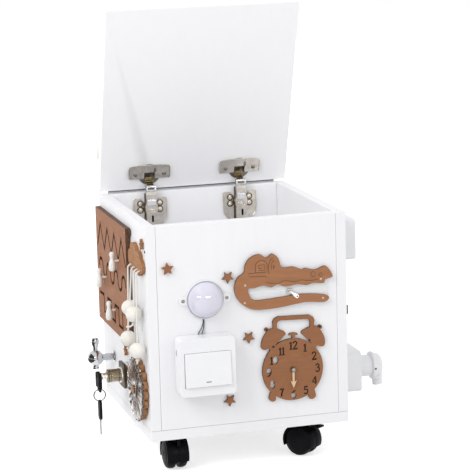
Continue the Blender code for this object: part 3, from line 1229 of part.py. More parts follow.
def build():
    clear_scene()
    white = paint("white_laminate", (0.86, 0.86, 0.87), 0.45)
    wood = paint("cut_plywood", (0.36, 0.17, 0.09), 0.6)
    birch = paint("pale_birch", (0.75, 0.58, 0.36), 0.55)
    nickel = paint("nickel", (0.62, 0.60, 0.56), 0.3, 1.0)
    brass = paint("antique_brass", (0.45, 0.36, 0.22), 0.35, 1.0)
    chrome = paint("chrome", (0.80, 0.80, 0.80), 0.12, 1.0)
    black = paint("black_plastic", (0.02, 0.02, 0.02), 0.4)
    plastic = paint("white_plastic", (0.84, 0.84, 0.83), 0.35)
    lilac = paint("lilac_dome", (0.78, 0.76, 0.84), 0.25)
    blue = paint("blue_lead", (0.03, 0.05, 0.14), 0.4)
    cotton = paint("off_white_cotton", (0.82, 0.78, 0.70), 0.8)
    painted = paint("white_painted_wood", (0.88, 0.87, 0.84), 0.5)
    acrylic = paint("clear_acrylic", (0.85, 0.87, 0.88), 0.1, alpha=0.4)
    walls(white)
    lid_group(white, nickel, brass)
    for name, (_, turn) in CASTORS.items():
        castor(name, *castor_place(name), turn, black, black)
    front = frame("front_face", (0, -DEPTH / 2, 0), (QUARTER, 0, 0))
    left = frame("left_face", (-WIDTH / 2, 0, 0), (QUARTER, 0, -QUARTER))
    right = frame("right_face", (WIDTH / 2, 0, 0), (QUARTER, 0, QUARTER))
    push_light(front, plastic, lilac, blue)
    rocker_switch(front, plastic, black)
    stars(front, wood)
    zip_plate(front, wood, cotton, nickel)
    clock(front, wood, birch)
    maze(left, wood, painted)
    cloud(left, wood, cotton)
    gears(left, wood, acrylic)
    lock(left, brass, nickel, black)
    tap(left, chrome)
    side_switch(right, plastic)
    socket_and_plug(right, plastic)


build()
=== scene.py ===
# %% [markdown]
# # Dressing an activity cube
# The real object is a white board box on castors, with a hinged lid and play fittings on its outer walls.
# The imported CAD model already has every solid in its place, in metres, so nothing here is fitted by eye.
# This lesson gives the solids their real edges, fasteners, engraving and finishes.

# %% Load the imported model
import json
import math

import bmesh
import bpy
from mathutils import Matrix, Vector


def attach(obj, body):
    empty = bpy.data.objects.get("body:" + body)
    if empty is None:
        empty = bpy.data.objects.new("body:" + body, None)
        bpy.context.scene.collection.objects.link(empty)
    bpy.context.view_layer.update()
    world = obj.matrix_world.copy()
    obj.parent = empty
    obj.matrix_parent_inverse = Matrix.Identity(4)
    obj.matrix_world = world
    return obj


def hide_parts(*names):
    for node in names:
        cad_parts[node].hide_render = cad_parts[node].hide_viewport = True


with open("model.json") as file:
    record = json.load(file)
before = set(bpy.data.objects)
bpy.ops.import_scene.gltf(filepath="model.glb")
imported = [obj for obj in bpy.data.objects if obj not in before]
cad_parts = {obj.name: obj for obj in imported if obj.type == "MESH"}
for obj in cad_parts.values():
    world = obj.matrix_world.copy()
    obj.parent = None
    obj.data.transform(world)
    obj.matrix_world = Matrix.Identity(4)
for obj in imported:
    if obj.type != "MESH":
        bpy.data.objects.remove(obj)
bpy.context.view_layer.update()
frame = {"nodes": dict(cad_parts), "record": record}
BODY = {node: body for body, nodes in frame["record"]["behaviour"]["bodies"].items() for node in nodes}
MM = 0.001


def linked(name, data):
    """A new object in the scene."""
    made = bpy.data.objects.new(name, data)
    bpy.context.scene.collection.objects.link(made)
    return made


def mm(*points):
    """Points that are written in millimetres."""
    return [tuple(v * MM for v in point) for point in points]


# %% [markdown]
# The camera comes first, because everything else is judged through it. It stands almost three metres away,
# a little above the box and to its left, with a long lens, so the box's edges hardly converge.
# A camera looks along its own -Z, so its matrix is built from the three directions of its view.

# %% Camera
CAMERA_PLACE = Vector((-0.7993, -2.8816, 0.8483))
CAMERA_YAW = math.radians(15.97)
CAMERA_PITCH = math.radians(11.04)
CAMERA_ROLL = math.radians(-1.47)
FOCAL_PIXELS = 2023.0
FRAME_PIXELS = 470
SENSOR_MM = 36.0

ahead = Vector((
    math.sin(CAMERA_YAW) * math.cos(CAMERA_PITCH),
    math.cos(CAMERA_YAW) * math.cos(CAMERA_PITCH),
    -math.sin(CAMERA_PITCH),
))
level = Vector((math.cos(CAMERA_YAW), -math.sin(CAMERA_YAW), 0))
upward = level.cross(ahead)
view_right = level * math.cos(CAMERA_ROLL) + upward * math.sin(CAMERA_ROLL)
view_up = upward * math.cos(CAMERA_ROLL) - level * math.sin(CAMERA_ROLL)
lens = bpy.data.cameras.new("camera")
lens.sensor_width = SENSOR_MM
lens.lens = FOCAL_PIXELS / FRAME_PIXELS * SENSOR_MM
camera = linked("camera", lens)
camera_turn = Matrix((view_right, view_up, -ahead)).transposed().to_4x4()
camera.matrix_world = Matrix.Translation(CAMERA_PLACE) @ camera_turn
bpy.context.scene.camera = camera
print("lens", round(lens.lens, 1), "mm")

# %% [markdown]
# Each wall carries its fittings in its own flat coordinates: across, up and out of the wall.
# A matrix for each wall turns those into the room's coordinates, so a fitting is drawn once, flat,
# and then stood up on its wall.

# %% Wall frames and sizes shared with the solids
HALF = 0.150
SEAM = 0.0003
PLY = 0.004
FRONT = Matrix(((1, 0, 0, 0), (0, 0, -1, -HALF), (0, 1, 0, 0), (0, 0, 0, 1)))
LEFT = Matrix(((0, 0, -1, -HALF), (-1, 0, 0, 0), (0, 1, 0, 0), (0, 0, 0, 1)))
RIGHT = Matrix(((0, 0, 1, HALF), (1, 0, 0, 0), (0, 1, 0, 0), (0, 0, 0, 1)))
QUARTER = math.pi / 2
TURN = 2 * math.pi
SIDES = ((-1, "left"), (1, "right"))


def shift(x, y, z=0.0):
    return Matrix.Translation((x, y, z))


def spin(degrees, axis="Z"):
    return Matrix.Rotation(math.radians(degrees), 4, axis)


# %% [markdown]
# Materials are built from node groups. One group makes a grain: noise stretched along one direction,
# put out as a mask for colour and as a height for bumps. Paint, film, moulded plastic, metal and wood
# all use the same group with other sizes, because real surfaces differ mostly in the scale and
# direction of their unevenness.

# %% Shader group: grain
def new_group(name, inputs, outputs):
    tree = bpy.data.node_groups.new(name, "ShaderNodeTree")
    for label, kind, value in inputs:
        tree.interface.new_socket(label, in_out="INPUT", socket_type=kind).default_value = value
    for label, kind in outputs:
        tree.interface.new_socket(label, in_out="OUTPUT", socket_type=kind)
    return tree, tree.nodes.new("NodeGroupInput"), tree.nodes.new("NodeGroupOutput")


def add_node(tree, kind, settings=None, **links):
    """A node with its settings, and its inputs either linked or given a plain value."""
    made = tree.nodes.new(kind)
    for key, value in (settings or {}).items():
        setattr(made, key, value)
    for label, value in links.items():
        place = int(label[1:]) if label[0] == "i" and label[1:].isdigit() else label.replace("_", " ")
        socket = made.inputs[place]
        if isinstance(value, bpy.types.NodeSocket):
            tree.links.new(value, socket)
        else:
            socket.default_value = value
    return made


def maths(tree, operation, *values, clamp=False):
    """One sum in a node tree, and its answer."""
    inputs = {f"i{number}": value for number, value in enumerate(values)}
    return add_node(tree, "ShaderNodeMath", {"operation": operation, "use_clamp": clamp}, **inputs).outputs[0]


FLOAT = "NodeSocketFloat"
VECTOR = "NodeSocketVector"


def grain_group():
    tree, given, out = new_group("grain", (
        ("Stretch", VECTOR, (1, 1, 1)), ("Scale", FLOAT, 60.0), ("Fine Scale", FLOAT, 400.0),
        ("Contrast", FLOAT, 1.0),
    ), (("Mask", FLOAT), ("Height", FLOAT)))
    place = tree.nodes.new("ShaderNodeTexCoord").outputs["Object"]
    mapped = add_node(tree, "ShaderNodeMapping", Vector=place, Scale=given.outputs["Stretch"]).outputs[0]
    broad, fine = (
        add_node(tree, "ShaderNodeTexNoise", Vector=mapped, Scale=given.outputs[size], Detail=detail,
                 Distortion=distortion).outputs[0]
        for size, detail, distortion in (("Scale", 4.0, 0.6), ("Fine Scale", 2.0, 0.0))
    )
    centred = maths(tree, "SUBTRACT", broad, 0.5)
    spread = maths(tree, "MULTIPLY_ADD", centred, given.outputs["Contrast"], 0.5, clamp=True)
    tree.links.new(spread, out.inputs["Mask"])
    tree.links.new(maths(tree, "MULTIPLY_ADD", broad, 0.5, fine), out.inputs["Height"])
    return tree


GRAIN = grain_group()

# %% [markdown]
# A finish is a Principled shader whose colour and roughness each run between two values by the grain's
# mask, with the grain's height as a faint bump. What is the same all over, such as metalness or coat, is
# set on the shader itself. Each line below gives a light and a dark colour, a range of roughness, and then
# the grain's scale, fine scale and bump.


# %% Finishes
BUMP_DEPTH = 0.0002


def new_material(name):
    made = bpy.data.materials.new(name)
    made.use_nodes = True
    return made, made.node_tree, made.node_tree.nodes["Principled BSDF"]


def finish(name, light, dark, rough, scale, fine=400.0, bump=0.1, contrast=1.5, stretch=(1, 1, 1), **plain):
    made, tree, shader = new_material(name)
    grain = add_node(tree, "ShaderNodeGroup", {"node_tree": GRAIN}, Stretch=stretch, Scale=scale,
                     Contrast=contrast)
    grain.inputs["Fine Scale"].default_value = fine
    mask = grain.outputs["Mask"]
    colour = add_node(tree, "ShaderNodeMix", {"data_type": "RGBA"}, i0=mask, i6=(*light, 1), i7=(*dark, 1))
    roughness = add_node(tree, "ShaderNodeMapRange", Value=mask, To_Min=rough[0], To_Max=rough[1])
    relief = add_node(tree, "ShaderNodeBump", Height=grain.outputs["Height"], Strength=bump,
                      Distance=BUMP_DEPTH)
    tree.links.new(colour.outputs[2], shader.inputs["Base Color"])
    tree.links.new(roughness.outputs[0], shader.inputs["Roughness"])
    tree.links.new(relief.outputs[0], shader.inputs["Normal"])
    for label, value in plain.items():
        shader.inputs[label.replace("_", " ")].default_value = value
    return made


def film(name, light, dark):
    return finish(name, light, dark, (0.38, 0.5), 14, 120, 0.12, 1.6, (9, 9, 0.6))


def plywood(name, light, dark, across, shine):
    return finish(name, light, dark, (0.5, 0.66), 30, 420, 0.3, 1.4, (1, across, 7), Specular_IOR_Level=shine)


def metal(name, light, dark, rough, scale, fine, bump, contrast=1.5):
    return finish(name, light, dark, rough, scale, fine, bump, contrast, Metallic=1.0)


FILM = film("white_film", (0.82, 0.822, 0.84), (0.80, 0.802, 0.82))
# A lighter copy of the white film: painted light for the lid and the box's inside faces.
FILM_PAINTED_LIGHT = film("white_film_painted_light", (0.91, 0.912, 0.93), (0.895, 0.897, 0.915))
PLYWOOD = plywood("stained_plywood", (0.355, 0.158, 0.071), (0.305, 0.131, 0.057), 1, 0.3)
PLYWOOD_SIDE = plywood("stained_plywood_side", (0.345, 0.148, 0.070), (0.29, 0.12, 0.056), 1.2, 0.25)
STAR_PLY = plywood("dark_plywood", (0.30, 0.125, 0.052), (0.24, 0.098, 0.042), 1, 0.3)
WARM_PLY = finish("warm_plywood", (0.42, 0.20, 0.085), (0.29, 0.125, 0.05), (0.5, 0.66), 60, 420, 0.4, 2.2,
                  (1, 1.2, 5), Specular_IOR_Level=0.25)
ENGRAVED = finish("engraved_line", (0.20, 0.088, 0.042), (0.13, 0.058, 0.028), (0.55, 0.75), 220, 900, 0.3)
BURNT = finish("burnt_cut_edge", (0.13, 0.062, 0.03), (0.05, 0.024, 0.013), (0.55, 0.75), 220, 900, 0.4, 2.0)
CUT_SIDE = finish("cut_ply_edge", (0.38, 0.175, 0.062), (0.22, 0.092, 0.032), (0.5, 0.7), 60, 700, 0.4, 1.8,
                  (1, 1, 9))
BIRCH = finish("pale_birch", (0.72, 0.56, 0.36), (0.60, 0.43, 0.25), (0.5, 0.62), 40, 300, 0.25, 1.8,
               (6, 6, 1))
NICKEL = metal("nickel_plate", (0.90, 0.84, 0.76), (0.64, 0.59, 0.52), (0.12, 0.26), 90, 700, 0.25, 2.4)
STEEL = metal("zinc_screw", (0.50, 0.49, 0.47), (0.34, 0.33, 0.32), (0.25, 0.42), 300, 1500, 0.15)
# Black for the dark screws, also used as painted shade on the walls of cut slots and holes.
BLACK_SCREW_AND_SHADE = finish("black_screw_and_painted_shade", (0.05, 0.048, 0.045), (0.02, 0.02, 0.02), (0.3, 0.5), 300, bump=0.2,
                     Metallic=0.8)
BRASS = metal("antique_brass", (0.37, 0.31, 0.225), (0.22, 0.18, 0.125), (0.15, 0.30), 120, 900, 0.15, 2.0)
CHROME = metal("chrome_plate", (0.66, 0.66, 0.67), (0.52, 0.52, 0.54), (0.05, 0.12), 50, 900, 0.03)
NYLON = finish("black_nylon", (0.005, 0.005, 0.006), (0.003, 0.003, 0.004), (0.24, 0.38), 90, 1400, 0.12,
               Specular_IOR_Level=0.05)
TREAD = finish("black_tread", (0.006, 0.006, 0.007), (0.004, 0.004, 0.005), (0.34, 0.48), 120, 1100, 0.2,
               Specular_IOR_Level=0.06)
PLASTIC = finish("white_plastic", (0.80, 0.806, 0.825), (0.77, 0.776, 0.795), (0.26, 0.34), 40, 1800, 0.06,
                 Coat_Weight=0.25)
DOME = finish("lilac_dome", (0.66, 0.655, 0.745), (0.62, 0.615, 0.71), (0.08, 0.14), 30, 600, 0.02,
              Coat_Weight=0.8, Subsurface_Weight=0.25, Subsurface_Scale=0.01)
PAINT = finish("white_gloss_paint", (0.82, 0.81, 0.79), (0.77, 0.76, 0.73), (0.3, 0.42), 90, 500, 0.18,
               Coat_Weight=0.3)
BEAD = finish("off_white_paint", (0.80, 0.78, 0.73), (0.74, 0.71, 0.65), (0.32, 0.45), 80, 500, 0.2,
              Coat_Weight=0.3)
BLUE = finish("blue_insulation", (0.018, 0.038, 0.075), (0.012, 0.024, 0.05), (0.3, 0.42), 200, bump=0.05)
GREY = finish("grey_insulation", (0.70, 0.70, 0.70), (0.60, 0.60, 0.60), (0.3, 0.42), 200, bump=0.05)
ACRYLIC = finish("clear_acrylic", (0.86, 0.86, 0.85), (0.80, 0.80, 0.79), (0.03, 0.08), 40, 500, 0.02,
                 Transmission_Weight=1.0, IOR=1.40)
# A darker lilac for the ring round the dome's foot: painted shade.
DOME_FOOT_SHADE = finish("lilac_painted_shade", (0.42, 0.41, 0.50), (0.36, 0.35, 0.44), (0.25, 0.35), 60, 600, 0.02)
ZIP_METAL = finish("bright_zinc", (0.90, 0.90, 0.91), (0.78, 0.78, 0.80), (0.18, 0.30), 200, 1500,
                   Metallic=0.9)
ZIP_WHITE = finish("white_zip_teeth", (0.90, 0.92, 0.96), (0.84, 0.865, 0.91), (0.3, 0.4), 200, 1500, 0.05)
PALE_SCREW = finish("pale_screw", (0.66, 0.58, 0.50), (0.52, 0.45, 0.38), (0.3, 0.42), 300, 1500,
                    Metallic=0.7)
# Darker nickel for dark screws, pins and the key ring, also used as painted shade on the hinge cups' floors.
NICKEL_DARK = metal("dark_nickel_and_painted_shade", (0.36, 0.33, 0.29), (0.24, 0.22, 0.19), (0.25, 0.4), 200, 1200, 0.15)
BRASS_BRIGHT = metal("yellow_brass", (0.42, 0.33, 0.17), (0.28, 0.21, 0.10), (0.2, 0.34), 160, 1200, 0.1)
# Dark bronze for the lock's plate and bands and the clock's washer, also used as painted shade round the
# hinge arms and screws.
DARK_BRONZE_AND_SHADE = metal("dark_bronze_and_painted_shade", (0.16, 0.125, 0.085), (0.09, 0.07, 0.05), (0.28, 0.42), 160, 900, 0.12)
KEY_PLASTIC = finish("black_key_plastic", (0.010, 0.010, 0.011), (0.005, 0.005, 0.006), (0.42, 0.52), 150,
                     1400, Specular_IOR_Level=0.12)
FROST = finish("engraved_acrylic", (0.30, 0.235, 0.20), (0.13, 0.10, 0.085), (0.45, 0.6), 500, 1500, 0.4, 2.5,
               Transmission_Weight=0.3)
# A grey for print, also used as painted shade for the switch's slot and the gap under the lid.
MARK = finish("grey_print_and_painted_shade", (0.16, 0.165, 0.175), (0.12, 0.125, 0.13), (0.45, 0.55), 200, 1200, 0.05)
print("finishes", len(bpy.data.materials))

# %% [markdown]
# Cords and the zip's tape are woven, so they get a second group: two sets of fine waves that cross,
# read from the piece's own UV map so that the weave follows the cord round its bends.


# %% Shader group: weave
def weave_group():
    tree, given, out = new_group(
        "weave", (("Along", FLOAT, 400.0), ("Across", FLOAT, 10.0)), (("Mask", FLOAT), ("Height", FLOAT)),
    )
    place = tree.nodes.new("ShaderNodeTexCoord").outputs["UV"]
    parts = add_node(tree, "ShaderNodeSeparateXYZ", Vector=place).outputs
    waves = []
    for part, rate in ((parts[0], "Along"), (parts[1], "Across")):
        waves.append(maths(tree, "SINE", maths(tree, "MULTIPLY", part, given.outputs[rate])))
    height = maths(tree, "MULTIPLY_ADD", maths(tree, "MULTIPLY", *waves), 0.5, 0.5, clamp=True)
    for label in ("Mask", "Height"):
        tree.links.new(height, out.inputs[label])
    return tree


WEAVE = weave_group()


def woven(name, light, dark, along, across, depth):
    made, tree, shader = new_material(name)
    weave = add_node(tree, "ShaderNodeGroup", {"node_tree": WEAVE}, Along=along, Across=across)
    mask = weave.outputs["Mask"]
    colour = add_node(tree, "ShaderNodeMix", {"data_type": "RGBA"}, i0=mask, i6=(*dark, 1), i7=(*light, 1))
    relief = add_node(tree, "ShaderNodeBump", Height=weave.outputs["Height"], Strength=0.6, Distance=depth)
    tree.links.new(colour.outputs[2], shader.inputs["Base Color"])
    tree.links.new(relief.outputs[0], shader.inputs["Normal"])
    shader.inputs["Roughness"].default_value = 0.85
    shader.inputs["Sheen Weight"].default_value = 0.3
    return made


COTTON = woven("woven_cotton", (0.82, 0.80, 0.76), (0.62, 0.59, 0.54), 2600.0, 12.6, 0.0002)
TAPE = woven("zip_tape_cloth", (0.84, 0.84, 0.84), (0.70, 0.70, 0.70), 3200.0, 3200.0, 0.0001)


# %% [markdown]
# Every piece is made the same way: its mesh is written flat, moved to its place, given materials and a
# softened edge, and then told which moving body it rides on and which CAD solid it stands for. The edge
# matters most: no real board or moulding has a perfectly sharp corner, and the thin bright line on a corner
# is what makes a render look solid.


# %% Making a piece
def as_mesh(name, shape, at=None):
    """The shape as a mesh. Where it gets a place, it is moved there and its faces are turned outwards."""
    if at is not None:
        bmesh.ops.transform(shape, matrix=at, verts=shape.verts)
        bmesh.ops.recalc_face_normals(shape, faces=shape.faces)
    mesh = bpy.data.meshes.new(name)
    shape.to_mesh(mesh)
    shape.free()
    return mesh


def baked(made):
    """The object's mesh with its modifiers worked in."""
    return bpy.data.meshes.new_from_object(made.evaluated_get(bpy.context.evaluated_depsgraph_get()))


def settle(name, mesh, materials, on="box", slot=None, bevel=0.0, steps=2, sharp=35, replaces=()):
    """A finished piece. It rides on a moving body, or on a solid's body. The slot it is given is not used."""
    made = linked(name, mesh)
    for material in materials:
        mesh.materials.append(material)
    mesh.shade_smooth()
    mesh.set_sharp_from_angle(angle=math.radians(sharp))
    if bevel:
        edge = made.modifiers.new("soft_edge", "BEVEL")
        edge.width = bevel
        edge.segments = steps
        edge.limit_method = "ANGLE"
        edge.angle_limit = math.radians(sharp)
        edge.harden_normals = True
    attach(made, BODY.get(on, on))
    if replaces:
        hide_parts(*replaces)
    return made


def piece(name, shape, at, materials, on="box", slot=None, **more):
    return settle(name, as_mesh(name, shape, at), materials, on, slot, **more)


def merged_copy(node):
    """A CAD solid's mesh as whole flat faces, so that its corners can be softened."""
    shape = bmesh.new()
    shape.from_mesh(frame["nodes"][node].data)
    bmesh.ops.remove_doubles(shape, verts=shape.verts, dist=1e-6)
    bmesh.ops.dissolve_limit(shape, angle_limit=math.radians(0.5), verts=shape.verts, edges=shape.edges)
    return shape


def dress(node, materials, bevel=0.0005, edge_of=None, **more):
    """A softened copy of a CAD solid. With edge_of, a wall's normal, cut edges get the second material."""
    shape = merged_copy(node)
    if edge_of is not None:
        for face in shape.faces:
            face.material_index = 0 if abs(face.normal.dot(edge_of)) > 0.7 else 1
    made = f"{node}_finished"
    return settle(made, as_mesh(made, shape), materials, node, bevel=bevel, replaces=(node,), **more)


# %% [markdown]
# Flat shapes are prisms of an outline, and round ones are profiles turned about an axis.
# These are the two ways in which the real parts were made too: cut from sheet, or turned and moulded.


# %% Drawing helpers
def prism(outline, low, high, shape=None, index=0, at=None):
    shape = shape or bmesh.new()
    rings = [[shape.verts.new((x, y, z)) for x, y in outline] for z in (low, high)]
    faces = [shape.faces.new(reversed(rings[0])), shape.faces.new(rings[1])]
    for i in range(len(outline)):
        j = (i + 1) % len(outline)
        faces.append(shape.faces.new((rings[0][i], rings[0][j], rings[1][j], rings[1][i])))
    for face in faces:
        face.material_index = index
    if at is not None:
        bmesh.ops.transform(shape, matrix=at, verts=rings[0] + rings[1])
    return shape


def turned(profile, sides, shape=None, index=0, at=None):
    """A profile of (radius, height) turned about Z. It starts and ends on the axis, or closes on itself."""
    shape = shape or bmesh.new()
    rings = []
    for radius, height in profile:
        angles = [TURN * i / sides for i in range(sides if radius > 0 else 1)]
        rings.append([shape.verts.new((radius * math.cos(a), radius * math.sin(a), height)) for a in angles])
    following = rings[1:] + (rings[:1] if profile[0][0] > 0 else [])
    for upper, lower in zip(rings, following):
        for i in range(sides):
            j = (i + 1) % sides
            around = (upper[i % len(upper)], upper[j % len(upper)], lower[j % len(lower)],
                      lower[i % len(lower)])
            shape.faces.new(tuple(dict.fromkeys(around))).material_index = index
    if at is not None:
        bmesh.ops.transform(shape, matrix=at, verts=[vert for ring in rings for vert in ring])
    return shape


def arc(radius, first=0.0, turn=TURN, steps=32, x=0.0, y=0.0, height=None, tall=None):
    """Points along a circle, or an ellipse with a second radius. With a height they are in space."""
    angles = (first + turn * i / steps for i in range(steps + 1))
    points = [(x + radius * math.cos(a), y + (tall or radius) * math.sin(a)) for a in angles]
    return points if height is None else [(*point, height) for point in points]


def rounded(width, height, radius, x=0.0, y=0.0, steps=6):
    outline = []
    for side_x, side_y, quarter in ((1, 1, 0), (-1, 1, 1), (-1, -1, 2), (1, -1, 3)):
        for i in range(steps + 1):
            a = QUARTER * (quarter + i / steps)
            outline.append((x + side_x * (width / 2 - radius) + radius * math.cos(a),
                            y + side_y * (height / 2 - radius) + radius * math.sin(a)))
    return outline


def smooth_line(points, steps=6, closed=False):
    """A curve through the points, in two or three dimensions."""
    count = len(points)
    line = []
    for i in range(count if closed else count - 1):
        picked = [(i + k) % count if closed else min(max(i + k, 0), count - 1) for k in (-1, 0, 1, 2)]
        before, start, end, after = (Vector(points[k]) for k in picked)
        for step in range(steps):
            t = step / steps
            line.append(tuple(
                start + (end - before) * (t / 2) + (before * 2 - start * 5 + end * 4 - after) * (t * t / 2)
                + (start * 3 - before - end * 3 + after) * (t ** 3 / 2)
            ))
    return line if closed else line + [tuple(points[-1])]


def stroke(points, width):
    """The outline of a line of one width, drawn with a round pen."""
    sides = ([], [])
    last = len(points) - 1
    for i, here in enumerate(points):
        run = (Vector(points[min(i + 1, last)]) - Vector(points[max(i - 1, 0)])).normalized()
        across = Vector((-run.y, run.x)) * (width / 2)
        cap = run * (width / 2 if i == last else -width / 2 if i == 0 else 0)
        sides[0].append(tuple(Vector(here) + across + cap * 0.3))
        sides[1].append(tuple(Vector(here) - across + cap * 0.3))
    return sides[0] + sides[1][::-1]


def cut_from(target, shape, at):
    """Takes a shape out of a finished piece for good. The cut's walls keep the cutter's material."""
    cutter = linked("cutter", as_mesh("cutter", shape, at))
    for material in target.data.materials:
        cutter.data.materials.append(material)
    step = target.modifiers.new("engrave", "BOOLEAN")
    step.operation = "DIFFERENCE"
    step.solver = "EXACT"
    step.use_self = True
    step.object = cutter
    while target.modifiers[0].name != "engrave":
        bpy.context.view_layer.objects.active = target
        bpy.ops.object.modifier_move_up(modifier="engrave")
    for other in target.modifiers:
        other.show_viewport = other.name == "engrave"
    cut = baked(target)
    target.modifiers.remove(target.modifiers["engrave"])
    for other in target.modifiers:
        other.show_viewport = True
    target.data = cut
    bpy.data.objects.remove(cutter)


# %% [markdown]
# Screws, teeth and cords repeat or follow a line, so geometry nodes make them. One group puts a copy of a
# part on every point of a mesh, turned and sized by the point's own values, with a random turn where one is
# wanted. The other sweeps a round section along a line and writes a UV map, so that a weave follows the
# cord. Each result is kept as a plain mesh.


# %% Geometry groups: copies and sweeps
def geometry_group(name, inputs):
    tree = bpy.data.node_groups.new(name, "GeometryNodeTree")
    for label, kind in inputs:
        tree.interface.new_socket(label, in_out="INPUT", socket_type=f"NodeSocket{kind}")
    tree.interface.new_socket("Result", in_out="OUTPUT", socket_type="NodeSocketGeometry")
    return tree, tree.nodes.new("NodeGroupInput").outputs, tree.nodes.new("NodeGroupOutput").inputs["Result"]


def named(tree, label, kind="FLOAT"):
    """The values that the geometry keeps under a name."""
    found = add_node(tree, "GeometryNodeInputNamedAttribute", {"data_type": kind}, Name=label)
    return next(socket for socket in found.outputs if socket.enabled and socket.name == "Attribute")


def copies_group():
    tree, given, result = geometry_group("copies_on_points", (
        ("Points", "Geometry"), ("Part", "Object"), ("Spin", "Float"), ("Seed", "Int"),
        ("Material", "Material"),
    ))
    part = add_node(tree, "GeometryNodeObjectInfo", Object=given["Part"])
    placed = add_node(tree, "GeometryNodeInstanceOnPoints", Points=given["Points"],
                      Instance=part.outputs["Geometry"],
                      Rotation=named(tree, "turn", "FLOAT_VECTOR"), Scale=named(tree, "size", "FLOAT_VECTOR"))
    chance = add_node(tree, "FunctionNodeRandomValue", i3=given["Spin"], i8=given["Seed"])
    about = add_node(tree, "ShaderNodeCombineXYZ", Z=chance.outputs[1])
    spun = add_node(tree, "GeometryNodeRotateInstances", Instances=placed.outputs[0],
                    Rotation=about.outputs[0])
    real = add_node(tree, "GeometryNodeRealizeInstances", Geometry=spun.outputs[0])
    ready = add_node(tree, "GeometryNodeSetMaterial", Geometry=real.outputs[0], Material=given["Material"])
    tree.links.new(ready.outputs[0], result)
    return tree


def sweep_group():
    tree, given, result = geometry_group("sweep_on_path", (
        ("Path", "Geometry"), ("Radius", "Float"), ("Sides", "Int"), ("Material", "Material"),
    ))
    line = add_node(tree, "GeometryNodeMeshToCurve", Mesh=given["Path"])
    ring = add_node(tree, "GeometryNodeCurvePrimitiveCircle", Resolution=given["Sides"],
                    Radius=given["Radius"])
    curves = []
    for curve, label, run in ((line, "along", "Length"), (ring, "around", "Factor")):
        value = tree.nodes.new("GeometryNodeSplineParameter").outputs[run]
        curves.append(add_node(tree, "GeometryNodeStoreNamedAttribute",
                               {"data_type": "FLOAT", "domain": "POINT"},
                               Geometry=curve.outputs[0], Name=label, Value=value).outputs[0])
    tube = add_node(tree, "GeometryNodeCurveToMesh", Curve=curves[0], Profile_Curve=curves[1], Fill_Caps=True)
    flat = add_node(tree, "ShaderNodeCombineXYZ", X=named(tree, "along"), Y=named(tree, "around"))
    mapped = add_node(tree, "GeometryNodeStoreNamedAttribute", {"data_type": "FLOAT2", "domain": "CORNER"},
                      Geometry=tube.outputs[0], Name="UVMap", Value=flat.outputs[0])
    ready = add_node(tree, "GeometryNodeSetMaterial", Geometry=mapped.outputs[0], Material=given["Material"])
    tree.links.new(ready.outputs[0], result)
    return tree


COPIES = copies_group()
SWEEP = sweep_group()


def keep(name, base, tree, **settings):
    """What a group makes from a base mesh, kept as a plain mesh."""
    holder = linked(name, base)
    step = holder.modifiers.new("make", "NODES")
    step.node_group = tree
    for label, value in settings.items():
        step[tree.interface.items_tree[label].identifier] = value
    holder.update_tag()
    made = baked(holder)
    bpy.data.objects.remove(holder)
    bpy.data.meshes.remove(base)
    made.name = name
    return made


def copies(name, part, places, material, on="box", spin=0.0, seed=4):
    """One piece holding a copy of the part at each place, a matrix that may scale it too."""
    points = bpy.data.meshes.new("points")
    points.from_pydata([place.translation for place in places], [], [])
    for label, values in (("turn", [p.to_euler() for p in places]), ("size", [p.to_scale() for p in places])):
        for item, value in zip(points.attributes.new(label, "FLOAT_VECTOR", "POINT").data, values):
            item.vector = value
    made = keep(name, points, COPIES, Part=part, Spin=spin, Seed=seed, Material=material)
    return settle(name, made, (), on, "nickel")


def sweep(name, path, radius, material, on="box", slot=None, sides=8, at=Matrix(), replaces=()):
    """A round bar, wire or cord along a path."""
    line = bpy.data.meshes.new("path")
    line.from_pydata([at @ Vector(point) for point in path], [(i, i + 1) for i in range(len(path) - 1)], [])
    made = keep(name, line, SWEEP, Radius=radius, Sides=sides, Material=material)
    return settle(name, made, (), on, slot, replaces=replaces)


def pattern(name, shape):
    """A hidden part for the copies group to repeat."""
    made = linked(name, as_mesh(name, shape, Matrix()))
    made.hide_render = True
    return made


def loft(rings):
    """A solid skin over a row of closed rings with equal numbers of points."""
    shape = bmesh.new()
    rows = [[shape.verts.new(point) for point in ring] for ring in rings]
    shape.faces.new(rows[0][::-1])
    shape.faces.new(rows[-1])
    for first, second in zip(rows, rows[1:]):
        for i in range(len(first)):
            j = (i + 1) % len(first)
            shape.faces.new((first[i], first[j], second[j], second[i]))
    return shape


# %% [markdown]
# Every screw in the cube has the same cross head, so it is modelled once, a metre in radius, with its
# recess cut in, and scaled down to each screw. The slots end up at odd angles, as driven screws do.

# %% The screw head
CROSS_ARM, CROSS_HALF = 0.55, 0.13
head_profile = ((0, 0.46), (0.35, 0.42), (0.68, 0.30), (0.90, 0.12), (1.0, 0.0), (1.0, -0.3), (0, -0.3))
SCREW = pattern("screw_head", turned(head_profile, 24))
cross = []
for quarter in range(4):
    turn = spin(90 * quarter)
    for x, y in ((CROSS_HALF, CROSS_HALF), (CROSS_HALF, CROSS_ARM), (-CROSS_HALF, CROSS_ARM)):
        cross.append(tuple((turn @ Vector((x, y, 0)))[:2]))
cut_from(SCREW, prism(cross, 0.16, 1.0), Matrix())
print("screw head faces", len(SCREW.data.polygons))


def screw(wall, x, y, out, radius):
    return wall @ shift(x * MM, y * MM, out) @ Matrix.Scale(radius, 4)


def screws(name, wall, places, out, radius, material, seed, on="box"):
    """Screws of one size on one wall, at places in millimetres."""
    copies(name, SCREW, [screw(wall, x, y, out, radius) for x, y in places], material, on, TURN, seed)


# %% [markdown]
# The two laces come first. Each runs out of a hole in the cloud, bends down and passes through a bead to a
# knot. Their points repeat the route of the solids, with the limp cord's bend never tighter than two of its
# diameters.

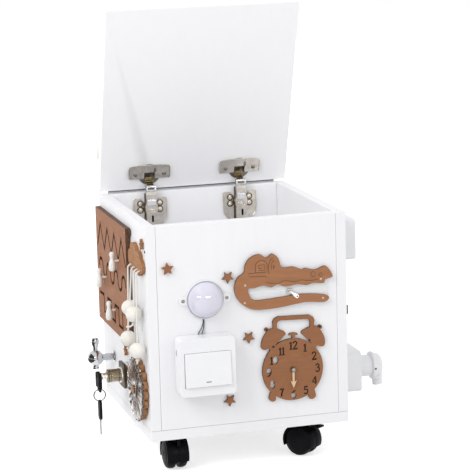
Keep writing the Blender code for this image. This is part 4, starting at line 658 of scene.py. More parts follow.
# %% Laces, beads and knots
CORD_DIAMETER = 0.0026
HOLE_Z = 0.2495
PLATE_FACE = 0.0055
BEND = 0.0052
BEAD_RADIUS = 0.0118
BEAD_BORE = 0.0019
BEAD_OUT = 0.0135
LACES = {
    "bead_1": ("cord_rear", 0.1025, 0.0958, 0.1884, (0.002, -0.006, 0.002)),
    "bead_2": ("cord_rear", 0.0820, 0.0806, 0.1392, (0.001, -0.005, 0.0)),
    "bead_3": ("cord_front", 0.1200, 0.1211, 0.1843, (-0.004, -0.004, 0.010)),
    "bead_4": ("cord_front", 0.1345, 0.1360, 0.1342, (0.0, -0.005, 0.001)),
}


def knot_path(centre, size=0.00075, count=48):
    path = []
    for i in range(count + 1):
        a = TURN * i / count
        loop = Vector((math.sin(a) + 2 * math.sin(2 * a), -math.sin(3 * a) * 1.3,
                       math.cos(a) - 2 * math.cos(2 * a)))
        path.append(Vector(centre) + loop * size)
    return path


def bead_shape():
    bore = math.asin(BEAD_BORE / BEAD_RADIUS)
    angles = [bore + (math.pi - 2 * bore) * i / 20 for i in range(21)]
    return turned([(BEAD_RADIUS * math.sin(a), BEAD_RADIUS * math.cos(a)) for a in angles], 32)


for name, (cad_cord, hole_x, x, z, tail) in LACES.items():
    bead_centre = Vector((x, z, BEAD_OUT))
    below = Vector((hole_x, HOLE_Z - BEND, PLATE_FACE + BEND))
    run = (bead_centre - below).normalized()
    angles = [QUARTER * i / 8 for i in range(8)]
    bend = [Vector((hole_x, HOLE_Z - BEND * (1 - math.cos(a)),
                    PLATE_FACE + BEND * math.sin(a))) for a in angles]
    knot = bead_centre + run * (BEAD_RADIUS + 0.0024)
    end = knot + Vector(tail)
    straight = [below + (knot - below) * (i / 24) for i in range(24)]
    hook = [knot + run * 0.002 * math.sin(math.pi * t) + (end - knot) * t for t in (i / 6 for i in range(7))]
    path = [LEFT @ point for point in bend + straight + hook]
    cotton = (COTTON, "box", "off_white_cotton")
    lace = sweep(f"lace_{name[-1]}", path, CORD_DIAMETER / 2, *cotton, 12, replaces=(cad_cord,))
    knotted = sweep(f"knot_{name[-1]}", knot_path(knot), 0.0011, *cotton, 10, LEFT)
    bead_place = LEFT @ Matrix.Translation(bead_centre) @ run.to_track_quat("Z", "Y").to_matrix().to_4x4()
    piece(f"{name}_finished", bead_shape(), bead_place, (BEAD,), name, sharp=50, replaces=(name,))

# %% [markdown]
# The six boards are chipboard with a white film, cut square and edge-banded. Their solids are right as they
# are, so each gets a copy whose corners are softened by half a millimetre. The plates are cut by laser, so
# their faces show the wood and their cut edges are scorched.


# %% Boards and cut plates
TO_FRONT = Vector((0, -1, 0))
TO_LEFT = Vector((-1, 0, 0))
BACK_OUTSIDE = Matrix(((-1, 0, 0, 0), (0, 0, 1, HALF), (0, 1, 0, 0), (0, 0, 0, 1)))
INSIDE_HALF = 0.1351
FLOOR_TOP = 0.0149
STRIP_HALF = 134.7
GEAR_Y, GEAR_Z = -0.098, 0.067
GEAR_VALLEY = 0.0423

# The lid and every inside face get the lighter copy of the film: painted light in place of the light they
# lack.
for board in ("left_wall", "right_wall", "front_panel", "back_panel", "base_board", "lid_panel"):
    dressed = dress(board, (FILM_PAINTED_LIGHT if board == "lid_panel" else FILM, FILM_PAINTED_LIGHT), 0.0006)
    for face in dressed.data.polygons:
        middle, normal = face.center, face.normal
        within = max(abs(middle.x), abs(middle.y)) < INSIDE_HALF and middle.z > FLOOR_TOP
        if within and normal.dot(middle) < 0.01:
            face.material_index = 1
# The grey strip in the gap under the lid's back edge is painted shadow; the white one matches the board.
for name, low, high, material in (("rear_strip", 300, 316.5, FILM), ("rear_seal", 316.5, 318.3, MARK)):
    strip = mm((-STRIP_HALF, low), (STRIP_HALF, low), (STRIP_HALF, high), (-STRIP_HALF, high))
    piece(name, prism(strip, 0.0003, 0.0013), BACK_OUTSIDE, (material,), "box", "white_laminate")
crocodile = dress("crocodile_plate", (PLYWOOD, BURNT, ENGRAVED), 0.0003, TO_FRONT)
clock_plate = dress("clock_plate", (STAR_PLY, BURNT), 0.0003, TO_FRONT)
dress("maze_board", (PLYWOOD_SIDE, BURNT), 0.0003, TO_LEFT)
dress("cloud_plate", (WARM_PLY, CUT_SIDE), 0.0005, TO_LEFT)
gear = dress("wooden_gear", (WARM_PLY, CUT_SIDE, BURNT), 0.0003, TO_LEFT)
# The cut edge in the tooth valleys gets the darker burnt colour: painted shade in the valleys, over a
# scorched edge.
for face in gear.data.polygons:
    reach = math.hypot(face.center.y - GEAR_Y, face.center.z - GEAR_Z)
    if face.material_index == 1 and reach < GEAR_VALLEY:
        face.material_index = 2
for star in ("star_top_middle", "star_middle", "star_low"):
    dress(star, (STAR_PLY, BURNT), 0.0003, TO_FRONT)
print("boards and plates dressed")


# %% [markdown]
# Three more stars are glued on. One sits at the top left of the front, and the other two are on the left
# wall, where the camera sees them almost edge-on.

# %% Glued stars
def star(name, wall, x, z, turn, wood, radius=0.0095):
    outline = []
    for i in range(10):
        reach = radius if i % 2 == 0 else radius * 0.47
        a = QUARTER + math.radians(turn) + math.pi * i / 5
        outline.append((x + reach * math.cos(a), z + reach * math.sin(a)))
    made = prism(outline, SEAM, SEAM + PLY)
    for face in made.faces:
        face.material_index = 0 if len(face.verts) > 4 else 1
    return piece(name, made, wall, (wood, CUT_SIDE), "box", "cut_plywood", bevel=0.0003)


star("star_top_left", FRONT, -0.1194, 0.2530, 4, STAR_PLY)
star("star_side_top", LEFT, 0.1365, 0.2880, 12, PLYWOOD_SIDE, 0.0085)
star("star_side_low", LEFT, 0.0122, 0.1045, 20, PLYWOOD_SIDE)

# %% [markdown]
# The crocodile's face is engraved: each line is a shallow round-ended stroke, taken out of the plate for
# good. The clock's numerals are burnt in. Where a numeral closes on itself its middle has fallen out, so
# the loops of 6, 8, 9 and 10 are cut as whole holes and the white board shows in them.

# %% Engraving and numerals
ENGRAVED_TOP = 0.0056
ENGRAVED_DEPTH = 0.0005
LINE_WIDTH = 0.0009
CROC_LINES = (
    ((15, 240), (24, 240), (24, 248), (15, 248), (15, 243), (20, 243)),
    ((10, 237), (10, 248), (14, 253), (19, 254.5), (25, 252.5), (27.5, 248), (27.5, 238)),
    ((-1, 237), (25.5, 237)),
    ((0, 232), (24, 231), (26.5, 229)),
    ((30, 234), (30, 248), (33, 254), (36, 257)),
    ((34, 240), (34.5, 249), (38, 254.5)),
    ((25, 222), (34, 219.5), (44, 218.8), (52, 221.8), (61, 220.8), (70, 218.8), (79, 221), (88, 219.4),
     (97, 219.2), (104, 220.5)),
)
NOSTRILS = ((97, 228, 3.6), (108.5, 226.5, 2.6))
PUPIL = ((36.8, 240.5), (38.6, 240.5), (38.6, 246.5), (36.8, 246.5))
outlines = [stroke(mm(*(smooth_line(line, 5) if len(line) > 6 else line)), LINE_WIDTH) for line in CROC_LINES]
outlines += [
    stroke(arc(reach * MM, steps=17, x=x * MM, y=z * MM)[:-1], LINE_WIDTH) for x, z, reach in NOSTRILS
]
engraved = bmesh.new()
for outline in outlines + [mm(*PUPIL)]:
    prism(outline, ENGRAVED_TOP - ENGRAVED_DEPTH, ENGRAVED_TOP + 0.002, engraved, 2)
cut_from(crocodile, engraved, FRONT)

THIN, MEDIUM, BROAD, THICK = 1.3, 1.7, 1.8, 2.1
DIGITS = {
    "0": ((((0, 0),), (3.4, 5.0)),),
    "1": ((((0, -4.6), (0, 4.6)), THICK), (((-1.9, -4.7), (1.9, -4.7)), THIN),
          (((0, 4.2), (-1.9, 3.0)), THIN)),
    "2": ((((-2.2, 2.8), (-1.5, 4.4), (0.3, 4.8), (2.1, 3.8), (2.1, 2.0), (0.6, -0.8), (-2.0, -4.2)), MEDIUM),
          (((-2.4, -4.6), (2.6, -4.6)), THICK), (((2.7, -4.6), (2.8, -3.2)), THIN)),
    "3": ((((-2.1, 3.3), (-1.0, 4.6), (0.8, 4.7), (2.0, 3.2), (1.5, 1.3), (-0.4, 0.5)), MEDIUM),
          (((-0.4, 0.5), (1.9, -0.2), (2.5, -2.4), (1.2, -4.4), (-0.9, -4.7), (-2.2, -3.5)), BROAD)),
    "4": ((((0.4, 3.9), (-2.7, -1.8)), THIN), (((-2.9, -2.2), (3.0, -2.2)), THIN),
          (((1.3, 4.8), (1.3, -4.7)), THICK)),
    "5": ((((-1.8, 4.4), (2.3, 4.5)), THICK), (((-1.8, 4.4), (-2.0, 0.7)), THIN),
          (((-2.0, 0.7), (0.2, 1.2), (2.1, 0.1), (2.4, -2.2), (1.1, -4.3), (-0.9, -4.7), (-2.2, -3.6)),
           BROAD)),
    "6": ((((0.1, -1.7),), (3.3, 3.3)), (((-2.2, -2.0), (-2.1, 1.4), (-0.4, 4.1), (2.1, 4.9)), MEDIUM)),
    "7": ((((-2.3, 4.4), (2.4, 4.4)), THICK), (((2.3, 4.2), (0.4, 0.6), (-0.4, -4.8)), THICK)),
    "8": ((((0, 2.5),), (2.7, 2.6)), (((0, -2.2),), (3.2, 3.1))),
    "9": ((((-0.1, 1.7),), (3.3, 3.3)), (((2.2, 2.0), (2.1, -1.4), (0.4, -4.1), (-2.1, -4.9)), MEDIUM)),
}
DIAL_X, DIAL_Z, DIAL_RADIUS = 64.6, 87.3, 37.0
BOLD = 1.16
HOLE_FLOOR, BURNT_FLOOR, CUT_TOP = -0.001, 0.0016, 0.008


def numeral(shape, text, x, z):
    """Cuts for one number: strokes burnt into the wood, with a width, or a hole with its two radii."""
    for place, digit in enumerate(text):
        middle = x + (place - (len(text) - 1) / 2) * (4.6 if text == "11" else 6.2)
        for points, width in DIGITS[digit]:
            if isinstance(width, tuple):
                (left, low), = points
                outline = arc(width[0], steps=24, x=left, y=low, tall=width[1])[:-1]
                floor = HOLE_FLOOR
            else:
                outline = stroke(smooth_line(points, 4) if len(points) > 2 else points, width)
                floor = BURNT_FLOOR
            prism([((middle + u * BOLD) * MM, (z + v * BOLD) * MM) for u, v in outline], floor, CUT_TOP,
                  shape, 1)


cuts = bmesh.new()
for hour in range(1, 13):
    a = math.radians(90 - 30 * hour)
    reach = DIAL_RADIUS - (2.6 if hour in (10, 11) else 0)
    numeral(cuts, str(hour), DIAL_X + reach * math.cos(a), DIAL_Z + reach * math.sin(a))
cut_from(clock_plate, cuts, FRONT)
print("crocodile faces", len(crocodile.data.polygons), "clock faces", len(clock_plate.data.polygons))

# %% [markdown]
# The crocodile's mouth is a zip. Its tape is a cloth strip stretched flat on the panel behind the plate, so
# its weave is read from a UV map laid straight along the strip. The teeth are one small tooth put on every
# point of the two rows by the copies group, and the slider is a channel that they pass through.

# %% Zip: tape, teeth and slider
TEETH_OUT = 0.0011
tape = dress("zip_tape", (TAPE,))
flat_map = tape.data.uv_layers.new(name="UVMap")
for loop in tape.data.loops:
    corner = tape.data.vertices[loop.vertex_index].co
    flat_map.data[loop.index].uv = (corner.x, corner.z)

ZIP_JOINED = smooth_line(((-3, 208.3), (10, 206.7), (30, 206.0), (62, 205.4)), 14)
ZIP_UPPER = smooth_line(((64, 205.9), (78, 208.3), (96, 210.3), (109, 210.8)), 12)
ZIP_LOWER = smooth_line(((64, 204.8), (80, 203.4), (98, 201.3), (113, 199.3)), 12)
TOOTH_PITCH = 1.25


def spaced(line, pitch):
    """Points at an even pitch along a line, each with the line's direction."""
    found, gone = [], 0.0
    for start, end in zip(line, line[1:]):
        run = Vector(end) - Vector(start)
        while gone <= run.length:
            found.append((Vector(start) + run.normalized() * gone, math.atan2(run.y, run.x)))
            gone += pitch
        gone -= run.length
    return found


TOOTH = pattern("tooth", prism(rounded(0.0011, 0.0013, 0.0002, steps=1), 0, 0.0005))
teeth = []
for row, (line, side) in enumerate(((ZIP_JOINED, 0.55), (ZIP_JOINED, -0.55), (ZIP_UPPER, 0), (ZIP_LOWER, 0))):
    for place, heading in spaced(line, TOOTH_PITCH)[row % 2:]:
        teeth.append(
            FRONT @ shift(place.x * MM, (place.y + side) * MM, TEETH_OUT) @ spin(math.degrees(heading))
        )
copies("zip_teeth", TOOTH, teeth, ZIP_WHITE)

SLIDER = FRONT @ shift(0.062, 0.2054)
slider = prism(rounded(0.0092, 0.0074, 0.0022), 0.0030, 0.0038)
for side in (-1, 1):
    prism(rounded(0.0080, 0.0006, 0.0002, 0, side * 0.0034, steps=1), 0.0016, 0.0032, slider)
piece("zip_slider_body", slider, SLIDER, (STEEL,), "zip_slider", bevel=0.0002, replaces=("zip_slider",))
bridge = [(x, 0, z) for x, z in arc(0.0032, turn=math.pi, steps=12, y=0.0036, tall=0.0024)]
sweep("zip_slider_bridge", bridge, 0.0006, ZIP_METAL, "zip_slider", sides=12, at=SLIDER)
PULL = SLIDER @ spin(-38)
pull_outline = mm((0.5, 1.1), (4.5, 1.3), (8.5, 2.6))
pull_outline += arc(0.0030, QUARTER, -math.pi, 14, 0.0125)
pull_outline += mm((8.5, -2.6), (4.5, -1.3), (0.5, -1.1))
pull = piece("zip_pull", prism(pull_outline, 0.0050, 0.0062), PULL, (ZIP_METAL, BLACK_SCREW_AND_SHADE), "zip_slider",
             bevel=0.0003)
# The hole's walls are black: painted shade in the hole.
cut_from(pull, prism(arc(0.0012, steps=14, x=0.0130)[:-1], 0.004, 0.008, index=1), PULL)
print("teeth", len(teeth))

# %% [markdown]
# Small cross-headed screws hold the crocodile, and dark ones hold the light's ring and mark the clock's
# bells. They all come from the one head, a row of places for each finish.

# %% Screws on the front
CROC_SCREWS = ((-5.9, 219.9), (-7.1, 194.2), (108.9, 220.1), (111.6, 191.6))
CLOCK_MARKS = ((25.1, 151.1), (106.2, 148.7), (34.8, 125.1), (89.8, 129.8))
screws("crocodile_screws", FRONT, CROC_SCREWS, 0.0056, 0.0017, PALE_SCREW, 1)
screws("light_screws", FRONT, ((-98, 204), (-33, 204)), 0.0030, 0.0026, NICKEL_DARK, 2)
screws("clock_screws", FRONT, CLOCK_MARKS, 0.0043, 0.0019, BLACK_SCREW_AND_SHADE, 3)

# %% [markdown]
# The clock's hand is a pale arrow on a metal pin. The pin keeps its own grey cap, a low turned dome.

# %% Clock hand
HAND = FRONT @ shift(0.064, 0.0885)
arrow = mm((1.4, -18), (4.6, -17), (0, -27.2), (-4.6, -17), (-1.4, -18), (-1.6, 2), (-1, 3.4), (1, 3.4),
           (1.6, 2))
piece("clock_hand_arrow", prism(arrow, 0.0049, 0.0072), HAND, (BIRCH,), "clock_hand", bevel=0.0003,
      replaces=("clock_hand",))
washer = mm((0, 7.4), (3.8, 7.4), (4, 7.1), (4, 4.9), (0, 4.9))
piece("clock_hand_washer", turned(washer, 24), HAND, (DARK_BRONZE_AND_SHADE,), "clock_hand")
cap = mm((0, 8.8), (1.6, 8.6), (2.7, 8), (3, 7.2), (0, 7.2))
piece("clock_pin_cap", turned(cap, 20), HAND, (NICKEL_DARK,), "clock_hand")

# %% [markdown]
# Each hinge has a pressed flange on the lid over its cup, a link on two rolls, and an arm on a winged
# plate. Pressed steel has a rolled rim and rounded bends, and these catch the light, so the rim is a swept
# wire along the plate's outline and the arm's cover is a bevelled shell over the plain arm.

# %% Hinges
BACK_INSIDE = Matrix(((1, 0, 0, 0), (0, 0, -1, 0.1347), (0, 1, 0, 0), (0, 0, 0, 1)))
LID_PIVOT = (0.139, 0.330894)
ARM_PIVOT = (0.1256, 0.3246)
LID_OPEN = 72.3
LID = shift(0, *LID_PIVOT) @ spin(180 - LID_OPEN, "X")
HINGE_X = 0.0725
PLATE_OUT = 0.0016
FLANGE_BACK, FLANGE_OUT = 0.0032, 0.0043
ARM_OUT = 0.0123
ARM_EARS_Z = 0.3150
CUP_FLOOR = 0.0030
SCREW_Z = 288.5
FLANGE_HALF = ((0, 31), (15, 30.6), (28, 29.2), (31.5, 27.8), (33, 24), (33, 10.5), (31, 7.2), (8.4, 7.2),
               (8.4, 17.4), (0, 17.4))
ARM_HALF = ((0, 314), (7.6, 314), (7.6, 301), (9.8, 295), (9.8, 288), (8.2, 284), (8.2, 262.5), (0, 262.5))
# A dark outline a little wider than the arm: painted shadow round the arm on its plate.
ARM_SHADOW_HALF = ((0, 314), (8.9, 314), (8.9, 300.6), (11.1, 294.6), (11.1, 287.4), (9.5, 283.4), (9.5, 261.6),
            (0, 261.6))
SHOULDER_HALF = ((0, 304.8), (6.3, 304.8), (7.5, 295.0), (0, 295.0))
BLOCK_HALF = ((0, 9.2), (6.6, 9.2), (6.6, 3.8), (0, 3.8))
PLATE_EDGE = ((13.5, 305.4), (24.5, 305.9), (26.2, 302), (26.0, 275), (16.5, 261.2), (10, 260.9))
# A thin dark ring put under each hinge screw head: painted shade round the screw.
SHADE_RING = pattern("washer", turned(((0, 0.07), (1.30, 0.07), (1.36, 0), (0, 0)), 20))


def mirrored(half):
    return mm(*half, *[(-x, y) for x, y in half[::-1] if x > 0])


def roll(radius, half):
    """A short pin with its ends eased."""
    ease = 0.0004
    side = [(radius - ease, half), (radius, half - ease)]
    return turned([(0, half), *side, *[(r, -h) for r, h in side[::-1]], (0, -half)], 24)


def second_finish(made, chosen):
    """Gives the second material to the faces whose centres are chosen."""
    for face in made.data.polygons:
        if chosen(face.center):
            face.material_index = 1


def hinge(name, x):
    lid_place = LID @ shift(x, 0, 0)
    place = BACK_INSIDE @ shift(x, 0, 0)
    link_end = spin(90, "Y")

    def part(label, shape, at, *materials, on="box", slot="nickel", **more):
        return piece(f"{label}_{name}", shape, at, materials, on, slot, **more)

    dress(f"hinge_link_{name}", (BRASS,), 0.0003)
    second_finish(dress(f"hinge_arm_{name}", (NICKEL, STEEL), 0.0003), lambda centre: centre.z > ARM_EARS_Z)
    # The cup's floor, deep in the lid, gets the darker nickel: painted shade in the hollow.
    cup = dress(f"hinge_cup_{name}", (NICKEL, NICKEL_DARK), 0.0003)
    second_finish(cup, lambda centre: (lid_place.inverted() @ centre).z < CUP_FLOOR)
    part("hinge_flange", prism(mirrored(FLANGE_HALF), FLANGE_BACK, FLANGE_OUT), lid_place, NICKEL, on="lid",
         bevel=0.0005)
    rim = smooth_line([(u, v, FLANGE_OUT) for u, v in mirrored(FLANGE_HALF[1:7])[:6]], 3)
    for side, hand in SIDES:
        path = [(side * u * 0.985, v, w) for u, v, w in rim]
        sweep(f"flange_rim_{name}_{hand}", path, 0.0006, NICKEL, "lid", at=lid_place)
    screws(f"flange_screws_{name}", lid_place, ((-22.5, 15), (22.5, 15)), FLANGE_OUT, 0.0034, NICKEL_DARK,
           5, "lid")
    for side, hand in SIDES:
        lip = arc(side * 0.0168, math.radians(25), math.radians(38), 8, y=0.0135, height=0.0019, tall=-0.0168)
        sweep(f"cup_lip_{name}_{hand}", lip, 0.0005, NICKEL, "lid", at=lid_place)
    cam = lid_place @ shift(0.0085, 0.0215, FLANGE_OUT) @ Matrix.Diagonal((0.0021, 0.0045, 0.0008, 1))
    part("cam_mark", turned(((0, 0.3), (0.8, 0.3), (1, 0), (0, 0)), 20), cam, NICKEL_DARK, on="lid")
    block = prism(mirrored(BLOCK_HALF), 0.0012, FLANGE_BACK)
    part("cup_block", block, lid_place, BRASS_BRIGHT, on="lid", slot="antique_brass", bevel=0.0006)
    part("lid_roll", roll(0.0028, 0.0062), shift(x, *LID_PIVOT) @ link_end, BRASS_BRIGHT, on="hinge_links",
         slot="antique_brass")
    part("arm_roll", roll(0.0027, 0.0079), shift(x, *ARM_PIVOT) @ link_end, CHROME, on="hinge_links")
    foot = PLATE_OUT - 0.0002
    cover = part("arm_cover", prism(mirrored(ARM_HALF), foot, ARM_OUT), place, NICKEL, BLACK_SCREW_AND_SHADE,
                 bevel=0.0013, steps=3)
    # The dark plate under the arm's edges is painted shadow along its sides.
    part("arm_fold", prism(mirrored(ARM_SHADOW_HALF), foot, PLATE_OUT + 0.0004), place, DARK_BRONZE_AND_SHADE)
    part("arm_shoulder", prism(mirrored(SHOULDER_HALF), ARM_OUT - 0.0008, ARM_OUT + 0.0018), place, ZIP_METAL,
         bevel=0.0010, steps=3)
    part("arm_lip", roll(0.0030, 0.0078), place @ shift(0, 0.3187, 0.0092) @ link_end, STEEL)
    # The slots and the screw's well get black walls: painted shade in the recesses.
    slots = prism(rounded(0.0026, 0.0105, 0.0012, 0.0012, 0.2745), ARM_OUT - 0.004, ARM_OUT + 0.002, index=1)
    well = arc(0.0046, steps=24, y=SCREW_Z * MM, height=ARM_OUT)
    prism([point[:2] for point in well[:-1]], ARM_OUT - 0.0012, ARM_OUT + 0.002, slots, 1)
    cut_from(cover, slots, place)
    sweep(f"arm_ring_{name}", well, 0.0007, NICKEL, at=place)
    heads = [screw(place, 0, SCREW_Z, ARM_OUT - 0.0010, 0.0036)]
    heads += [screw(place, side * 15.5, z, PLATE_OUT, 0.0040) for side in (-1, 1) for z in (297.5, 287.5)]
    copies(f"plate_screws_{name}", SCREW, heads, NICKEL, "box", TURN, 6)
    # The dark rings under the screw heads are painted shade.
    copies(f"plate_washers_{name}", SHADE_RING, heads, DARK_BRONZE_AND_SHADE, "box", TURN, 6)
    for side, hand in SIDES:
        path = [(side * u * MM, v * MM, PLATE_OUT) for u, v in smooth_line(PLATE_EDGE, 4)]
        sweep(f"plate_rim_{name}_{hand}", path, 0.0008, NICKEL, at=place)


for side, hand in SIDES:
    hinge(hand, side * HINGE_X)
print("hinges dressed")

# %% [markdown]
# The push light is a lilac dome on a ring with two screw ears. Its two leads run down into the switch box.
# Both of their ends are fixed, so they are short bars of wire and not a free cord.

# %% Light and leads
LIGHT = FRONT @ shift(-0.0655, 0.204)
DOME_FOOT = 0.0048
dress("light_base", (PLASTIC,), 0.0008, steps=3)
dome = [
    (0.0262 * math.sin(a), DOME_FOOT + 0.0170 * math.cos(a)) for a in (QUARTER * i / 14 for i in range(15))
]
# A darker lilac ring round the dome's foot is painted shade where the dome meets its base.
sweep("light_dome_rim", arc(0.0267, steps=64, height=DOME_FOOT), 0.0008, DOME_FOOT_SHADE, "light_dome", at=LIGHT)
piece("light_dome_moulded", turned(dome + [(0, DOME_FOOT)], 64), LIGHT, (DOME,), "light_dome",
      replaces=("light_dome",))
LEADS = (
    ("left", BLUE, ((-68.6, 176.5), (-68.8, 170), (-71.5, 162), (-76.5, 154.5), (-77.2, 152.5)), 0.00055),
    ("right", BLUE, ((-68.0, 176.5), (-67.6, 170), (-68.4, 162), (-70.6, 154.5), (-70.8, 152.5)), 0.00055),
    ("pale", GREY, ((-66.6, 176.5), (-66.0, 168), (-66.4, 160), (-66.8, 152.5)), 0.0005),
)
for name, material, route, radius in LEADS:
    path = [(x * MM, z * MM, 0.0011) for x, z in smooth_line(route, 6)]
    sweep(f"light_lead_{name}", path, radius, material, "light_leads", at=FRONT, replaces=("light_leads",))

# %% [markdown]
# The switch is a moulded box with a wide rocker. The rocker carries a short printed dash, and the box's
# left side has a screwdriver slot, drawn as a flat grey patch of painted shade.

# %% Switches and socket
for nodes, round_edge, edge_steps in (
    (("switch_housing", "side_switch", "socket_box"), 0.0014, 4),
    (("switch_rocker", "side_rocker"), 0.0007, 3),
):
    for node in nodes:
        dress(node, (PLASTIC,), round_edge, steps=edge_steps)
PLUG = RIGHT @ shift(-0.0760, 0.0616)
BARREL = mm((0, 32.5), (15, 32.5), (16.4, 33.8), (16.4, 38.5), (15.7, 39), (15.7, 40), (16.4, 40.5),
            (16.4, 60), (20.2, 60.7), (20.9, 61.8), (20.9, 64.8), (20.2, 65.8), (18.8, 66.2), (18.3, 68),
            (17.4, 73), (14.6, 76.6), (10, 78.1), (0, 78.5))
ELBOW = mm((0, -3), (9.4, -3), (9.4, 19), (8.8, 21), (8, 21.8), (7.6, 28), (8, 28.7), (8, 29.9),
           (6.8, 30.5), (0, 30.5))
PIN = mm((0, 20), (1.8, 20), (2.3, 20.8), (2.3, 33), (0, 33))
elbow_place = PLUG @ shift(0, 0, 0.0690) @ spin(82, "X")
piece("plug_moulded", turned(BARREL, 48), PLUG, (PLASTIC,), "plug", sharp=50, replaces=("plug",))
piece("plug_elbow", turned(ELBOW, 36), elbow_place, (PLASTIC,), "plug", sharp=50, replaces=("plug",))
for side, end in ((-1, "near"), (1, "far")):
    pin_place = PLUG @ shift(side * 0.0095, 0)
    piece(f"plug_pin_{end}", turned(PIN, 20), pin_place, (NICKEL,), "plug", "nickel", replaces=("plug",))
dress("battery_pack", (NYLON,), 0.0005)
ROCKER = FRONT @ shift(-0.0705, 0.1075, 0.0225) @ spin(-3, "X")
dash = prism(rounded(0.0075, 0.0013, 0.0005, 0, -0.0183), 0.0072, 0.00795)
piece("rocker_dash", dash, ROCKER, (MARK,), "switch_rocker")
# The slot is a flat grey patch: painted shade in place of a recess.
slot_place = LEFT @ shift(0.160, 0.131, -0.0380)
piece("housing_slot", prism(rounded(0.0016, 0.0085, 0.0006), 0, 0.0003), slot_place, (MARK,),
      "switch_housing")
screw_place = shift(0.2133, -0.0968, 0.0604) @ spin(90, "X")
piece("plug_screw", turned(mm((0, 0.6), (1.2, 0.5), (1.6, 0), (0, 0)), 14), screw_place, (BLACK_SCREW_AND_SHADE,),
      "plug")
plate_place = RIGHT @ shift(-0.1435, 0.1688)
piece("side_plate", prism(rounded(0.011, 0.0135, 0.001), SEAM, 0.0025), plate_place, (MARK,), "box",
      "white_plastic", bevel=0.0003)

# %% [markdown]
# The left wall carries the maze with its three pegs, the gears, the lock and the tap. The cam lock is one
# solid, but the real one is made of several metals, so its faces get their finish by how far they stand out
# of the wall.

# %% Lock, keys and tap
LOCK_STEPS = (0.0099, 0.0126, 0.0151)
case = dress("lock_case", (STEEL, DARK_BRONZE_AND_SHADE, NICKEL, BRASS), 0.0004)
for face in case.data.polygons:
    face.material_index = sum(-HALF - face.center.x >= step for step in LOCK_STEPS)
LOCK = LEFT @ shift(0.022, 0.070)
for number, (out, material) in enumerate(((0.0330, DARK_BRONZE_AND_SHADE), (0.0300, BRASS), (0.0175, DARK_BRONZE_AND_SHADE))):
    sweep(f"barrel_band_{number}", arc(0.0098, height=out), 0.0006, material, "lock_case", at=LOCK)
for node in ("lock_key", "lock_bolt"):
    dress(node, (NICKEL,), 0.0003)
dress("key_head", (KEY_PLASTIC,), 0.0014, steps=4)
RING_AXIS = LEFT @ shift(0.022, 0.0481, 0.047)
RING_RADIUS, RING_DROP = 0.0088, 0.0063
coil = []
for i in range(65):
    a = TURN * 2 * i / 64 + 0.6
    coil.append((0.0006 * math.cos(a / 2), RING_RADIUS * math.cos(a) - RING_DROP, RING_RADIUS * math.sin(a)))
sweep("split_ring", coil, 0.0009, NICKEL_DARK, "key_ring", at=RING_AXIS, replaces=("key_ring",))
spare = prism(rounded(0.014, 0.030, 0.005, 0, -0.0289), -0.0020, 0.0020)
piece("spare_key_head", spare, RING_AXIS, (KEY_PLASTIC,), "key_ring", "black_plastic", bevel=0.0008, steps=3,
      replaces=("key_ring",))
BLADE = mm((2.5, -43), (2.5, -48), (1.3, -49.5), (1.7, -51), (0.6, -52.5), (1.9, -54.5), (1.9, -56),
           (0.4, -57.5), (1.5, -59.5), (1.5, -61), (0.8, -62.5), (1.6, -64), (0.6, -67), (-0.9, -68),
           (-2.5, -66.5), (-2.5, -43))
piece("spare_key_blade", prism(BLADE, -0.0008, 0.0008), RING_AXIS, (NICKEL_DARK,), "key_ring", bevel=0.0002,
      replaces=("key_ring",))
TAP = LEFT @ shift(-0.077, 0.0735)
for node in ("tap_body", "tap_lever"):
    dress(node, (CHROME,), 0.0003, sharp=60)
FLANGE = mm((5.3, 0.4), (9, 0.4), (9.2, 1.2), (8, 2.6), (6, 3.2), (5.3, 3.2))
NOZZLE = mm((3, -17.2), (4.6, -17.2), (5, -16.4), (5, -15), (4.4, -14.2), (3, -14.2))
piece("tap_flange", turned(FLANGE, 40), TAP, (CHROME,), "tap_body")
piece("tap_nozzle", turned(NOZZLE, 32), TAP @ shift(0, 0, 0.030) @ spin(-90, "X"), (CHROME,), "tap_body")

# %% [markdown]
# The gears turn on one dowel. The clear one is laser-engraved with fine rays, which show as frosted lines,
# so grooves are cut into its face for good.

# %% Gears and pegs
clear = dress("clear_gear", (ACRYLIC, FROST), 0.0003)
rays = bmesh.new()
for i in range(40):
    a = TURN * i / 40
    near, far, lean = (13, 42, 0.09) if i % 2 else (20, 44, -0.09)
    along = []
    for reach in range(near, far, 3):
        bent = a + lean * (reach - near) / 22
        along.append((reach * MM * math.cos(bent), reach * MM * math.sin(bent)))
    prism(stroke(along, 0.0018), 0.0103, 0.0130, rays, 1)
cut_from(clear, rays, LEFT @ shift(-GEAR_Y, GEAR_Z))
for node in ("maze_peg_top", "maze_peg_middle", "maze_peg_low", "lid_knob"):
    dress(node, (PAINT,), 0.0004, sharp=50)
spacer = prism(rounded(0.008, 0.009, 0.001, 0.062, 0.2925), SEAM, 0.0040)
piece("maze_spacer", spacer, LEFT, (BURNT,), "maze_board", bevel=0.0003)
screws("maze_screws", LEFT, ((54, 291), (54, 130), (-135, 291), (-135, 130)), 0.008, 0.0018, PALE_SCREW, 7)
star_screws = [screw(LEFT, 146.5, 279, SEAM, 0.0020), screw(LEFT, 136.5, 288, 0.0043, 0.0014)]
copies("left_star_screws", SCREW, star_screws, BLACK_SCREW_AND_SHADE, "box", TURN, 8)

# %% [markdown]
# The castors are the common twin-wheel kind in black nylon. A crowned hood wraps both wheels, with a seam
# between its two halves, so it is a loft of crescents that swell and sink across its width. Each wheel has
# a rounded tread and a dished side with a hub.

